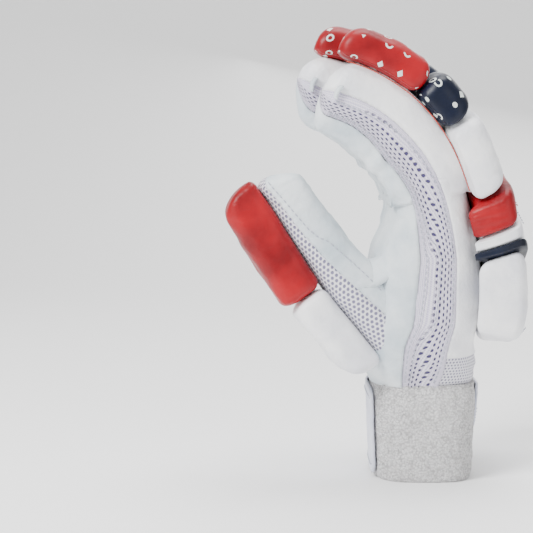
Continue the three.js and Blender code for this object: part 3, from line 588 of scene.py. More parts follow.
# One stitch is a capsule of five rings: their places along it, radii and lifts, as shares
STITCH_ALONG = np.array([-1.0, -0.75, 0.0, 0.75, 1.0])
STITCH_RADIUS = np.array([0.15, 0.75, 1.0, 0.75, 0.15])
STITCH_LIFT = np.array([-0.5, 0.3, 1.0, 0.3, -0.5])
SIDES = 6


def sewing(name, path, outward, look, pitch=3.8, length=2.6, width=0.85, proud=0.4):
    """A row of stitches as small six-sided capsules, pitch millimetres apart along a path of
    points. Each lies on the surface whose outward way is given at the same points: its middle
    stands proud of it and its ends dip in."""
    path, outward = np.asarray(path, float), np.asarray(outward, float)
    run = np.concatenate([[0], np.cumsum(np.linalg.norm(np.diff(path, axis=0), axis=1))])
    count = max(2, int(run[-1] / pitch))
    places = (np.arange(count) + 0.5) * run[-1] / count

    def read(values, at):
        """Rows of values read at running lengths along the path."""
        return np.stack([np.interp(at, run, values[:, k]) for k in range(3)], 1)

    middle = read(path, places)
    tangent = read(path, places + 0.3) - read(path, places - 0.3)
    tangent /= np.linalg.norm(tangent, axis=1, keepdims=True)
    up = read(outward, places)
    up -= (up * tangent).sum(1, keepdims=True) * tangent
    up /= np.linalg.norm(up, axis=1, keepdims=True)
    across = np.cross(tangent, up)
    angles = np.arange(SIDES) * 2 * np.pi / SIDES
    sideways = STITCH_RADIUS[:, None] * np.cos(angles)
    rise = STITCH_RADIUS[:, None] * np.sin(angles) * width / 2 + STITCH_LIFT[:, None] * proud
    shape = (middle[:, None, None]
             + tangent[:, None, None] * (STITCH_ALONG * length / 2)[:, None, None]
             + across[:, None, None] * sideways[..., None] * width / 2
             + up[:, None, None] * rise[..., None])
    rings = len(STITCH_ALONG)
    i, j = np.meshgrid(np.arange(rings - 1), np.arange(SIDES), indexing="ij")
    a = (i * SIDES + j).ravel()
    b = (i * SIDES + (j + 1) % SIDES).ravel()
    body = np.stack([a, b, b + SIDES, a + SIDES], 1)
    caps = np.array([[0, 5, 4, 3], [0, 3, 2, 1], [24, 25, 26, 27], [24, 27, 28, 29]])
    one = np.concatenate([body, caps])
    faces = (one[None] + (np.arange(count) * rings * SIDES)[:, None, None]).reshape(-1, 4)
    mesh = smooth_mesh(name, shape.reshape(-1, 3), faces)
    return piece(name, cleaned(mesh, 0.001), look)


# Padding

# The back curve walked in fine steps: stations, points and running length. It rises over its first
# RISING steps, and there a height gives its place.
FINE = np.linspace(-2.0, LAST + 2.0, 1601)
FINE_POINTS = on_curve(BACK_POINTS, FINE)
RUN = np.concatenate([[0], np.cumsum(np.linalg.norm(np.diff(FINE_POINTS, axis=0), axis=1))])
RISING = 900

# Clearance of a pad at its seams and over the skin, how far the rolls on the knuckles start past
# their station, the lean of the pads' ends, and the spacing of each kind of gathers
SEAM_CLEARANCE = 0.25
SEATED = 0.3
KNUCKLE_INSET = 14.0
PAD_LEAN = math.tan(math.radians(10))
ROLL_GATHERS, PANEL_GATHERS, THUMB_GATHERS, SKIN_GATHERS = 5.2, 5, 6, 5.5


def at_height(height, values):
    """Values of the fine steps where the back curve passes a height, on its rising stretch."""
    return np.interp(height, FINE_POINTS[:RISING, 1], values[:RISING])


def over_back(station, y, rise):
    """Points over the back curve at stations: y across the hand, rise outwards from the curve."""
    point, along, out = back_frame(station)
    return np.stack([point[:, 0] + out[:, 0] * rise, y, point[:, 1] + out[:, 1] * rise], 1)


def rounding(away, low, reach):
    """Height share near an end: low at the end itself, rising on a quarter circle to 1 at reach."""
    t = np.clip(away / reach, 0, 1)
    return low + (1 - low) * np.sqrt(1 - (1 - t) ** 2)


def padded_piece(name, points, quads, uvs, look):
    """A closed foam pad in its leather: subdivided once."""
    mesh = cleaned(smooth_mesh(name, points, quads, uvs))
    thing = piece(name, mesh, look, (name,))
    round_off = thing.modifiers.new("smooth", "SUBSURF")
    round_off.levels = round_off.render_levels = RENDER_LEVELS
    return thing


BAND_PEAK = CUFF_HEIGHT + 0.67 * HAND_LENGTH
BAND_HEIGHT = 20.5
PIPING_WIDTH = 4.5
PANEL_PROUD = 1.2
PIPING_PROUD = 2.0
HALF = HAND_WIDTH / 2


def band_top(y):
    """The chevron's upper edge, with its point eased over the middle."""
    away = np.sqrt(y**2 + 30) - np.sqrt(30)
    return BAND_PEAK - away / HALF * HAND_LENGTH * np.where(y < 0, 0.125, 0.11)


def band_foot(y):
    """The chevron's lower edge."""
    return band_top(y) - BAND_HEIGHT


def finger_roll(name, finger, low, high, height, leans, look, free, seed):
    """A sausage of foam along a finger: across, height and run of a rounded block are laid on the
    back curve, the top crowned across, the ends rounded off, and the base edges puckered by the
    seam. leans is how far its two ends slant across, as a share of the way across. A roll that
    starts at the knuckles stands on the chevron's upper edge. A free end is rounded off more."""
    start, stop = np.interp([low, high], FINE, RUN) + [SEAM_CLEARANCE, -SEAM_CLEARANCE]
    at_knuckles = low < FINGER_ROOT
    if at_knuckles:
        start += KNUCKLE_INSET
    thick = ROLL_THICKNESS * height
    half = np.array([ROLL_WIDTH / 2, thick / 2, (stop - start) / 2])
    local, quads, groups = rounded_block(half, (10, 9, min(7, half[2] * 0.45)),
                                         (14, 9, int(half[2] / 1.6) + 6))
    across, tall, share = shares(local, half)
    run = lerp(start, stop, share) + lerp(leans[0], leans[1], share) * (ROLL_WIDTH / 2) * across
    if at_knuckles:
        y = FINGERS[finger]["root"] * ROLL_WIDTH + across * ROLL_WIDTH / 2
        foot = at_height(band_top(y) + 0.5 + (tall - 1) * thick * PAD_LEAN, RUN)
        run = lerp(foot, stop + leans[1] * (ROLL_WIDTH / 2) * across, share)
    station = np.interp(run, RUN, FINE)
    middle, width = finger_side(finger, station)
    ends = rounding(share * 2 * half[2], 0.72, 7)
    ends *= rounding((1 - share) * 2 * half[2], *((0.4, 17) if free else (0.72, 7)))
    crown = 1.03 - 0.17 * across**2
    rise = tall * thick * crown * ends
    rise += tall * (0.8 * ripple(run, across * 17, seed + 1, 30)
                    + 0.3 * ripple(run, across * 17, seed + 9, 10))
    rise = np.maximum(rise, 0) + SEATED - 4 * (1 - tall) ** 2 * to_side(across, 5)
    base = np.exp(-tall * thick / 4.5)
    pucker = np.sin(run * 2 * np.pi / ROLL_GATHERS + 2 * ripple(run, across, seed, 40)) * base
    y = middle + across * (width / 2 - 0.15) * (1 - 0.05 * base)
    y += np.sign(across) * to_side(across, 3) * (0.35 * pucker - 0.3)
    uvs = block_uvs(local, quads, groups, half) + [61.0 * seed, 17.0 * seed + start]
    return padded_piece(name, over_back(station, y, rise), quads, uvs, look)


# Name, finger, stations of its two ends, share of the full thickness, slants of its ends, look, and
# whether its far end is free
ROLLS = [
    ("index_base_roll", "index", 6.35, 8.75, 1.0, (0.36, 0.3), "white", False),
    ("index_middle_roll", "index", 8.75, 10.1, 1.0, (0.3, 0.16), "navy print", False),
    ("index_tip_roll", "index", 10.1, 13.0, 0.94, (0.16, 0.0), "red print", True),
    ("middle_base_roll", "middle", 6.9, 9.15, 1.0, (0.36, 0.2), "white", False),
    ("middle_middle_roll", "middle", 9.15, 10.6, 1.0, (0.2, 0.12), "navy print", False),
    ("middle_tip_roll", "middle", 10.6, 13.7, 0.88, (0.12, 0.0), "red print", True),
    ("ring_long_roll", "ring", 6.9, 10.6, 1.0, (-0.33, -0.1), "white", False),
    ("ring_tip_roll", "ring", 10.6, 13.4, 0.9, (-0.1, 0.0), "white", True),
    ("little_long_roll", "little", 6.35, 10.15, 1.0, (-0.33, -0.16), "white", False),
    ("little_tip_roll", "little", 10.15, 12.6, 0.9, (-0.16, 0.0), "white", True),
]
for seed, row in enumerate(ROLLS):
    finger_roll(*row, seed + 1)


def piping_line(y):
    """Middle height of the piping: a straight slope, falling towards the little finger."""
    return CUFF_HEIGHT + HAND_LENGTH * lerp(0.42, 0.21, (y + HALF) / HAND_WIDTH)


def panel_foot(y):
    """Height of the lower panel's foot: level, with a shallow cosine wave across the hand."""
    return CUFF_HEIGHT + HAND_LENGTH * (0.155 + 0.012 * np.cos(2 * np.pi * y / (0.9 * HALF)))


def back_pad(name, low, high, thick, look, edge, seed, swell=1.0, rows=26):
    """A pad across the back of the hand between two edges, given as heights over y: a rounded block
    whose rows run from one edge to the other, laid on the back curve and leant up by a few degrees.
    It swells a little in the middle, and its base is gathered and closes over the hand's sides."""
    half = np.array([HALF, thick / 2, 14.0])
    local, quads, groups = rounded_block(half, (7, edge, edge), (56, 9, rows))
    across, tall, share = shares(local, half)
    y = across * HALF
    height = lerp(low(y), high(y), share) + (tall - 1) * thick * PAD_LEAN
    bevel = 1 - 0.12 * to_side(across, 5) ** 2
    rise = tall * thick * bevel * (1 + swell * (0.035 * np.sin(share * np.pi) - 0.02))
    rise += tall * 0.8 * swell * ripple(y, height, seed, 46)
    rise += SEATED - 11 * (1 - tall) ** 2 * to_side(across, 8)
    gathers = np.sin(height * 2 * np.pi / PANEL_GATHERS + 2 * ripple(height, across, seed, 30))
    y = y * (1 - 0.015 * np.exp(-tall * thick / 5))
    y += np.sign(across) * to_side(across, 6) * 0.45 * gathers * swell * (1 - tall)
    y -= y * 0.045 * (1 - tall) ** 2
    uvs = block_uvs(local, quads, groups, half)
    points = over_back(at_height(height, FINE), y, rise)
    return padded_piece(name, points, quads, uvs, look)


back_pad("knuckle_band", band_foot, band_top, PANEL_THICKNESS, "red", 5.5, 21)
back_pad("back_panel",
         lambda y: np.minimum(piping_line(y) + PIPING_WIDTH / 2 + 0.3, band_foot(y) - 3.0),
         lambda y: band_foot(y) - 0.3, PANEL_THICKNESS + PANEL_PROUD, "white", 5.0, 22)
back_pad("piping", lambda y: piping_line(y) - PIPING_WIDTH / 2,
         lambda y: piping_line(y) + PIPING_WIDTH / 2, PANEL_THICKNESS + PIPING_PROUD, "navy", 1.8,
         23, swell=0.2, rows=12)
back_pad("wrist_panel", panel_foot, lambda y: piping_line(y) - PIPING_WIDTH / 2 - 0.3,
         PANEL_THICKNESS, "white", 5.5, 24)


# Thumb: set out along its own line, turned about it and moved to its side of the hand

THUMB_LINE = np.array([math.cos(math.radians(126)), 0.0, math.sin(math.radians(126))])
THUMB_OUT = np.array([-THUMB_LINE[2], 0.0, THUMB_LINE[0]])
THUMB_ROOT = np.array([-0.56 * HAND_DEPTH, 0.0, CUFF_HEIGHT + 0.11 * HAND_LENGTH])
THUMB_CENTRE_Y = -0.3 * HAND_WIDTH
THUMB_TURN = math.radians(10)
THUMB_ALONG = [-0.08, 0.12, 0.3, 0.48, 0.66, 0.84, 0.94, 1.0]
THUMB_STATIONS = {
    "depth": [1.25, 1.22, 1.18, 1.08, 1.0, 0.95, 0.93, 0.8],
    "lift": [0.05, 0.0, -0.05, -0.05, 0.0, 0.06, 0.06, 0.1],
    "lean": [0.0, 0.0, 0.0, 0.0, -0.01, -0.02, -0.05, -0.07],
    "width": [0.95, 1.0, 1.0, 0.98, 0.94, 0.9, 0.84, 0.72],
    "mesh": [0.45, 0.5, 0.58, 0.68, 0.78, 0.84, 0.86, 0.86],
}


def thumb_column(name, along):
    """One row of THUMB_STATIONS read between its stations."""
    return np.interp(along, THUMB_ALONG, THUMB_STATIONS[name])


def place_thumb(points):
    """Turns points about the thumb's line, then moves them to its side and to the solids' frame."""
    away = points - THUMB_ROOT
    turned = (away * math.cos(THUMB_TURN) + np.cross(THUMB_LINE, away) * math.sin(THUMB_TURN)
              + THUMB_LINE * (away @ THUMB_LINE)[..., None] * (1 - math.cos(THUMB_TURN)))
    return turned + THUMB_ROOT + [SHIFT_X, THUMB_CENTRE_Y, 0]


def thumb_seam(along):
    """The line on which the thumb's padding sits: the thumb's line, moved off it by the lift."""
    lift = thumb_column("lift", along) * THUMB_DEPTH
    return (THUMB_ROOT + along[..., None] * THUMB_LENGTH * THUMB_LINE
            - lift[..., None] * THUMB_OUT)


def superellipse(theta):
    """Across and deep shares of a squared-off round section."""
    power = 2 / SQUARENESS
    return (np.sign(np.cos(theta)) * np.abs(np.cos(theta)) ** power,
            np.sign(np.sin(theta)) * np.abs(np.sin(theta)) ** power)


def theta_of(share):
    """Angle on the +Y side of a section whose depth share from the palm is given."""
    g = np.clip(2 * np.asarray(share, float) - 1, -1, 1)
    return np.arcsin(np.sign(g) * np.abs(g) ** (SQUARENESS / 2))


def thumb_section(along, theta, grow, size=1.0):
    """The thumb stall: a squared round section between its palm side and its seam side."""
    seam = thumb_seam(along)
    lean = thumb_column("lean", along) * THUMB_LENGTH
    deep_mm = thumb_column("depth", along) * THUMB_DEPTH
    palm = seam - deep_mm[..., None] * THUMB_OUT + lean[..., None] * THUMB_LINE
    up = (seam - palm) / 2
    depth = np.linalg.norm(up, axis=-1, keepdims=True)
    across, deep = superellipse(theta)
    half = thumb_column("width", along) * THUMB_WIDTH / 2
    reach = (deep * size)[..., None] * (depth + np.asarray(grow)[..., None])
    point = (seam + palm) / 2 + up / depth * reach
    point[..., 1] += across * (half + grow) * size
    return place_thumb(point)


def thumb_pad(name, low, high, height, look, free, root, seed):
    """A pad along the thumb: a rounded block laid on the seam side, crowned across, wrinkled, and
    rounded off, more so at a free end and at the root. Its base is gathered by the seam."""
    start, stop = low * THUMB_LENGTH + SEAM_CLEARANCE, high * THUMB_LENGTH - SEAM_CLEARANCE
    thick = THUMB_ROLL_THICKNESS * height
    half = np.array([THUMB_WIDTH / 2, thick / 2, (stop - start) / 2])
    local, quads, groups = rounded_block(half, (9, 8, 6), (14, 12, 30))
    across, tall, share = shares(local, half)
    run = lerp(start, stop, share)
    along = run / THUMB_LENGTH
    ends = rounding(stop - run, *((0.42, 17) if free else (0.8, 5)))
    ends *= rounding(run - start, *((0.5, 24) if root else (0.8, 5)))
    crown = 1.03 - 0.1 * across**2 - 0.08 * across
    rise = tall * thick * crown * ends + tall * 1.1 * ripple(run, across * 19, seed, 30)
    base = np.exp(-tall * thick / 5)
    ruffle = np.sin(run * 2 * np.pi / THUMB_GATHERS + 2 * ripple(run, across, seed, 40)) * base
    width = thumb_column("width", np.clip(along, 0, 0.9)) * THUMB_WIDTH / 2
    width = width * (1 - 0.1 * (1 - ends))
    points = thumb_seam(along) + np.maximum(rise + 0.4, 0.3)[:, None] * THUMB_OUT
    points[:, 1] = across * width + np.sign(across) * to_side(across, 3) * 0.6 * ruffle
    points += (0.5 * ruffle * (1 - np.abs(across)))[:, None] * THUMB_LINE
    uvs = block_uvs(local, quads, groups, half)
    return padded_piece(name, place_thumb(points), quads, uvs, look)


thumb_pad("thumb_base_pad", -0.09, 0.39, 0.88, "white", False, True, 31)
thumb_pad("thumb_roll", 0.39, 1.01, 1.0, "red", True, False, 32)


# Skins of the hand: strips of one squared round section, parted where leather meets mesh

FINGER_NAMES = list(FINGERS)
KNIT_SPAN = 27.0
ROOT = 7.05
STEP = 0.13
ROOT_SPREAD, SPREAD_FROM, SPREAD_TO = 3.4, 6.2, 7.8
KNIT_WALL, LEATHER_WALL, THUMB_WALL = 1.2, 1.5, 1.4
TIP_MERGE = 0.25
TIP_CLOSED = 0.0004


def section(s, theta, middle, half, grow, size=1.0):
    """A point of the hand or a finger: theta goes round the section between palm and back curve."""
    palm, back = on_curve(PALM_POINTS, s), on_curve(BACK_POINTS, s)
    up = (back - palm) / 2
    depth = np.linalg.norm(up, axis=-1, keepdims=True)
    across, deep = superellipse(theta)
    reach = (deep * size)[..., None] * (depth + np.asarray(grow)[..., None])
    flat = (palm + back) / 2 + up / depth * reach
    y = middle + across * (half + grow) * size
    return np.stack([flat[..., 0], np.broadcast_to(y, flat.shape[:-1]), flat[..., 1]], -1)


def hand_half(s, theta):
    """Half width of the hand on the side that theta looks to, widening a little to the fingers."""
    side = np.where(np.cos(theta) < 0, column(INDEX_SIDE, s), column(LITTLE_SIDE, s))
    return BODY_HALF * side + ROOT_SPREAD * smoothstep(SPREAD_FROM, SPREAD_TO, s)


def tip_size(s, end):
    """Size of a finger's section, closing on a quarter circle at its end."""
    t = 1 - np.clip((end - s) / 0.8, 0, 1)
    return np.sqrt(np.maximum(1 - t**2, TIP_CLOSED))


def hand_strip(low_theta, high_theta, low, high, grow, waves):
    """Grid over the body of the hand between two borders, given as angles over the stations."""
    s = np.linspace(low, high, int((high - low) / STEP))[:, None]
    share = np.linspace(0, 1, 60)[None]
    theta = lerp(low_theta(s), high_theta(s), share)
    return section(s + 0 * theta, theta, 0.0, hand_half(s, theta), grow + waves(s, share))


def finger_strip(name, low_theta, high_theta, low, columns, grow, waves, outer=0):
    """Grid along a finger between two borders, its rows closer together where the tip closes. outer
    is the side (-1 or 1) on which it grows out of the hand itself: there its half width eases from
    the hand's to its own."""
    end = FINGERS[name]["end"]
    t = np.linspace(0, 1, int((end - low) / STEP))
    s = (low + (end - low) * (1 - (1 - t) ** 1.12))[:, None]
    share = np.linspace(0, 1, columns)[None]
    theta = lerp(low_theta(s), high_theta(s), share)
    middle, width = finger_side(name, s)
    swell, size = grow + waves(s, share), tip_size(s, end)
    grid = section(s + 0 * theta, theta, middle, width * STALL_SHARE / 2, swell, size)
    if outer:
        joined = smoothstep(SPREAD_FROM, SPREAD_TO, s)
        half = lerp(hand_half(s, theta) - ROOT_SPREAD * joined, width * STALL_SHARE / 2, joined)
        grown = section(s + 0 * theta, theta, middle * joined, half, swell, size)
        outwards = smoothstep(0.1, 0.8, superellipse(theta)[0] * outer)
        grid[..., 1] = lerp(grid[..., 1], grown[..., 1], outwards)
    return grid


def border(edge, side, turn=0.0):
    """The angle of an edge over the stations on one side (-1 or 1) of a section, turned on by so
    many radians."""
    def angle(s):
        theta = theta_of(column(edge, s))
        return (math.pi - theta if side < 0 else theta) + turn
    return angle


def puckered(seed, depth, edge=0.0):
    """Waves of a sewn skin: broad soft ones all over, that die away at its edges, and short gathers
    that live only there."""
    def waves(s, share):
        run = s * STATION_MM
        close = np.exp(-share / 0.1) + np.exp(-(1 - share) / 0.1)
        slip = 3 * ripple(run, share, seed + 5, 50)
        gathers = np.sin(run * 2 * np.pi / SKIN_GATHERS + slip) * close
        calm = (1 - np.exp(-share / 0.07)) * (1 - np.exp(-(1 - share) / 0.07))
        broad = ripple(run, share * 40, seed, 34) + 0.35 * ripple(run, share * 40, seed + 3, 11)
        return depth * calm * broad + edge * gathers
    return waves


def skin(name, grids, look, wall, replaced=None):
    """A sewn skin: its grids with their own lengths as UV, walled inwards from its outer face by a
    live Solidify. Across a knitted strip the UV is a share of KNIT_SPAN, because the knit stretches
    with its width. It stands for the solid of its own name, or for none."""
    laid = [with_lengths(grid) for grid in grids]
    if look == "knit":
        laid = [(grid, np.linspace(0, KNIT_SPAN, grid.shape[1])[None], v) for grid, u, v in laid]
    mesh = cleaned(grid_mesh(name, laid), TIP_MERGE, sheet=True)
    thing = piece(name, mesh, look, (name,) if replaced is None else replaced)
    solid = thing.modifiers.new("wall", "SOLIDIFY")
    solid.thickness = wall * MM
    solid.offset = -1.0
    solid.use_even_offset = False
    return thing


knit_waves, soft_waves = puckered(41, 0.5, 0.25), puckered(43, 0.6, 0.4)
for side, finger in ((-1, "index"), (1, "little")):
    strip = finger_strip(finger, border(PALM_EDGE, side), border(BACK_EDGE, side), -0.15, 16, 0.0,
                         knit_waves, outer=side)
    skin(f"{finger}_gusset", [strip if side < 0 else strip[:, ::-1]], "knit", KNIT_WALL)

for left, right in zip(FINGER_NAMES, FINGER_NAMES[1:]):
    # Two side walls that face each other, and the web that joins them at the fingers' root
    inner, outer = (finger_strip(name, border(PALM_EDGE, side), border(BACK_EDGE, side), ROOT, 14,
                                 0.0, knit_waves) for name, side in ((left, 1), (right, -1)))
    gap = (FINGERS[left]["root"] + FINGERS[right]["root"]) / 2 * ROLL_WIDTH
    across = np.linspace(-5, 5, 9)[None]
    depth = np.linspace(0.02, 0.98, 18)[:, None]
    s = 7.5 + 0.006 * across**2 + 0 * depth
    palm, back = on_curve(PALM_POINTS, s), on_curve(BACK_POINTS, s)
    flat = lerp(palm, back, depth[..., None] + 0 * across[..., None])
    web = np.stack([flat[..., 0], gap + across + 0 * depth, flat[..., 1]], -1)
    skin(f"{left}_{right}_gusset", [inner[:, ::-1], outer, web], "knit", KNIT_WALL)


def palm_waves(s, share):
    """The palm's hollow, its long handling creases and the gathers at its edges."""
    run = s * STATION_MM
    hollow = -2.2 * fold(share, 0.45, 0.3) * fold(s, 3.6, 2.2)
    creases = -1.1 * fold(run + 16 * share, 118, 3.5) - 0.9 * fold(run - 22 * share, 66, 4)
    return hollow + creases + soft_waves(s, share)


def finger_waves(s, share):
    """Gathers, and two creases with a swell between them where the finger bends."""
    return (soft_waves(s, share) - 1.3 * fold(s, 8.7, 0.22) - 1.0 * fold(s, 9.5, 0.2)
            + 0.7 * fold(s, 9.1, 0.25))


round_palm = border(PALM_EDGE, -1), border(PALM_EDGE, 1, 2 * math.pi)
over_hand = border(BACK_EDGE, 1), border(BACK_EDGE, -1)

palm = hand_strip(*round_palm, -0.15, 7.45, 0.8, palm_waves)
skin("palm_leather", [palm[:, ::-1]], "sheepskin", LEATHER_WALL)
for name in FINGER_NAMES:
    outer = FINGERS[name]["side"]
    under = finger_strip(name, *round_palm, ROOT - 0.1, 26, 0.8, finger_waves, outer)
    skin(f"{name}_finger_leather", [under[:, ::-1]], "sheepskin", LEATHER_WALL)
    over = finger_strip(name, *over_hand, ROOT - 0.1, 26, 0.6, soft_waves, outer)
    skin(f"{name}_finger_back", [over[:, ::-1]], "white", LEATHER_WALL)

over = hand_strip(*over_hand, 1.55, 7.5, 0.6, soft_waves)
skin("back_leather", [over[:, ::-1]], "white", LEATHER_WALL)
wrist = hand_strip(*over_hand, -0.15, 1.75, -0.6, puckered(47, 1.0, 0.3))
skin("wrist_mesh", [wrist[:, ::-1]], "wrist mesh", LEATHER_WALL)


# Thumb stall, and the leather web between it and the palm

def thumb_strip(low_theta, high_theta, columns, grow, waves):
    """Grid round the thumb between two borders, given as angles over its length, closed on a
    quarter circle at the tip."""
    t = np.linspace(0, 1, 84)[:, None]
    along = -0.06 + 1.06 * (1 - (1 - t) ** 1.15)
    share = np.linspace(0, 1, columns)[None]
    theta = lerp(low_theta(along), high_theta(along), share)
    tip = 1 - np.clip((1 - along) / 0.07, 0, 1)
    size = np.sqrt(np.maximum(1 - tip**2, TIP_CLOSED))
    return thumb_section(along + 0 * theta, theta, grow + waves(along * 7, share), size + 0 * theta)


def thumb_border(side, turn=0.0):
    """The angle of the edge between leather and mesh over the thumb's length on one side (-1 or 1)
    of its section, turned on by so many radians."""
    def angle(along):
        theta = theta_of(thumb_column("mesh", along))
        return (math.pi - theta if side < 0 else theta) + turn
    return angle


def bow(ends, t):
    """A quadratic curve from the first number to the last, drawn towards the middle one."""
    return (1 - t) ** 2 * ends[0] + 2 * t * (1 - t) * ends[1] + t**2 * ends[2]


under = thumb_strip(thumb_border(-1), thumb_border(1, 2 * math.pi), 40, 0.5,
                    puckered(51, 0.8, 0.45))
skin("thumb_leather", [under], "sheepskin", LEATHER_WALL)
over = thumb_strip(thumb_border(1), thumb_border(-1), 30, 0.0, puckered(52, 0.4, 0.2))
skin("thumb_mesh", [over], "thumb mesh", THUMB_WALL)

# The web bows from the thumb to the palm, in millimetres off the hand's line and over the floor,
# and falls away to its two free edges with the cube of the way across
WEB_X, WEB_Z = (-66, -43, -25), (158, 137, 159)
WEB_HALF, WEB_FALL = 16, 17
across = np.linspace(-WEB_HALF, WEB_HALF, 24)[None]
t = np.linspace(0, 1, 26)[:, None]
fall = WEB_FALL * np.abs(across / WEB_HALF) ** 3
web_x = bow(WEB_X, t) + SHIFT_X
web_z = bow(WEB_Z, t) - fall + 0.5 * ripple(t * 30, across, 55, 14)
web = np.stack([web_x + 0 * across, THUMB_CENTRE_Y + across + 0 * t, web_z], -1)
skin("thumb_web", [web[:, ::-1]], "sheepskin", THUMB_WALL, replaced=())


# Cuff and its strap

# A radian round the cuff and the strap's full width, in millimetres, as their waves read them
CUFF_RADIAN, STRAP_WIDTH = 40, 50


def cuff_ring(theta, z, grow):
    """A point round the cuff: a squared round section, a little narrower towards the floor, grown
    outwards by so much."""
    flare = np.interp(z / CUFF_HEIGHT, [0, 0.3, 0.6, 0.85, 1], [0.93, 0.96, 0.98, 1.0, 0.99])
    across, deep = superellipse(theta)
    x = CUFF_X + deep * (CUFF_DEPTH / 2 * flare + grow)
    y = CUFF_CENTRE_Y + across * (CUFF_WIDTH / 2 * flare + grow)
    return np.stack([x, y, z + 0 * x], -1)


def cuff_tube():
    """Towelling tube: its outline goes down the inner face, round the hem, up the outer face and
    round the top, and is carried round the wrist. Fine and broad waves make the pile uneven."""
    theta = np.linspace(0, 2 * np.pi, 241)[None]
    inner = 0.2 - CUFF_WALL
    z = np.concatenate([np.linspace(60, 3, 16), [1.2, 0.1, 0.1, 1.2], np.linspace(3, 62, 34),
                        [65, 65.6, 65, 62, 60]])[:, None]
    r = np.concatenate([[inner] * 16, [-3.6, -2.8, -1.2, -0.3], [0.0] * 34,
                        [-0.3, -1.8, -3.3, inner, inner]])[:, None]
    around = theta * CUFF_RADIAN
    pile = 0.5 * ripple(around, z, 61, 3.1) + 0.5 * ripple(around, z, 62, 24)
    pile = pile * smoothstep(2, 6, z) - 0.9 * fold(z, 61.5, 1.6)
    return cuff_ring(theta + 0 * z, z + 0 * theta, r + np.where(r > -1, pile, 0.2 * pile))


tube = cleaned(grid_mesh("cuff", [with_lengths(cuff_tube())]))
piece("cuff", tube, "towelling", ("cuff",))

# Strap edges as (y share of the cuff's half width, low and high share of its height) round the
# wrist, first on the palm side, then past the little finger side to the tab's point on the back
STRAP_PALM = [(-0.62, 0.13, 0.85), (-0.57, 0.07, 0.91), (-0.5, 0.05, 0.93), (0.4, 0.05, 0.95),
              (0.9, 0.2, 0.96)]
STRAP_SIDE = [(1.0, 0.27, 0.96)]
STRAP_BACK = [(0.95, 0.28, 0.96), (0.64, 0.43, 0.97), (0.3, 0.46, 0.98), (-0.05, 0.47, 0.98),
              (-0.4, 0.92, 0.965)]
STRAP_ROWS = STRAP_PALM + STRAP_SIDE + STRAP_BACK
STRAP_PROUD = 1.9
STRIPES, STRIPE_PITCH, STRIPE_WIDTH = 4, 0.1, 0.042


def wrap_angle(y):
    """The angle round the cuff's section at the share y of its half width."""
    return math.acos(np.sign(y) * abs(y) ** (SQUARENESS / 2))


strap_theta = [-wrap_angle(y) for y, *_ in STRAP_PALM] + [0.0]
strap_theta += [wrap_angle(y) for y, *_ in STRAP_BACK]


def strap_point(theta, share, over=0.0):
    """A point over the strap's softly waving face: share 0 is its lower edge, 1 its upper one. Its
    free edge stands off the cuff."""
    low, high = (np.interp(theta, strap_theta, [row[k] for row in STRAP_ROWS]) for k in (1, 2))
    lift = 1.3 * fold(theta, strap_theta[0], 0.22)
    waves = 0.3 * ripple(theta * CUFF_RADIAN, share * STRAP_WIDTH, 65, 30)
    grow = STRAP_PROUD + waves + over
    return cuff_ring(theta, lerp(low, high, share) * (CUFF_HEIGHT - 1), grow + lift)


theta = np.linspace(strap_theta[0], strap_theta[-1], 150)[:, None]
share = np.linspace(0, 1, 26)[None]
skin("closure_strap", [strap_point(theta + 0 * share, share + 0 * theta)], "strap", 1.7)

theta = np.linspace(0.25, 1.62, 60)[:, None]
ribbons = []
for k in range(STRIPES):
    share = 0.14 + STRIPE_PITCH * k + np.array([[0.0, STRIPE_WIDTH]]) + 0 * theta
    ribbons.append(strap_point(theta + 0 * share, share, 0.12))
skin("tab_stripes", ribbons, "stripe", 0.2, replaced=())


# Stitches and raw edges

def side_path(side, finger, edge, turn, grow):
    """A line along one side of the hand and its finger, turned off an edge, with its outward way.
    It stops short of the fingertip."""
    angle = border(edge, side, turn)
    near, far = (finger_strip(finger, angle, angle, 0.1, 2, g, lambda s, share: 0 * s, side)[:, 0]
                 for g in (grow, grow + 1))
    keep = slice(0, int(len(near) * 0.93))
    return near[keep], (far - near)[keep]


for side, finger in ((-1, "index"), (1, "little")):
    for row, edge, turn, grow in (("back_border_stitches_0_07", BACK_EDGE, -0.07, 0.8),
                                  ("palm_border_stitches_0_06", PALM_EDGE, 0.06, 0.95),
                                  ("palm_border_stitches_0_13", PALM_EDGE, 0.13, 1.0)):
        path, outward = side_path(side, finger, edge, side * turn, grow)
        sewing(f"{finger}_{row}", path, outward, "grey thread")

y = np.linspace(-57, 57, 200)
for name, height, thick, look in (
        ("band", band_foot(y) + 5.6, PANEL_THICKNESS, "red thread"),
        ("panel", band_foot(y) - 5.5, PANEL_THICKNESS + PANEL_PROUD, "grey thread"),
        ("wrist", panel_foot(y) + 6.0, PANEL_THICKNESS, "grey thread")):
    station = at_height(height, FINE)
    out = back_frame(station)[2]
    sewing(f"{name}_stitches", over_back(station, y, thick + 1.0),
           np.stack([out[:, 0], 0 * y, out[:, 1]], 1), look)

along = np.linspace(0.2, 0.97, 90)
for name, angle in (("front", thumb_border(-1, 0.3)), ("rear", thumb_border(1, -0.1))):
    near, far = (thumb_section(along, angle(along), np.full(90, g)) for g in (1.0, 2.0))
    sewing(f"thumb_{name}_stitches", near, far - near, "grey thread")

theta = np.linspace(strap_theta[0] + 0.06, strap_theta[-1] - 0.12, 200)
for name, place in (("lower", 0.1), ("upper", 0.91)):
    near, far = (strap_point(theta, np.full(200, place), g) for g in (0.05, 1.05))
    sewing(f"strap_{name}_stitches", near, far - near, "grey thread", pitch=2.8, length=1.9,
           width=0.5)

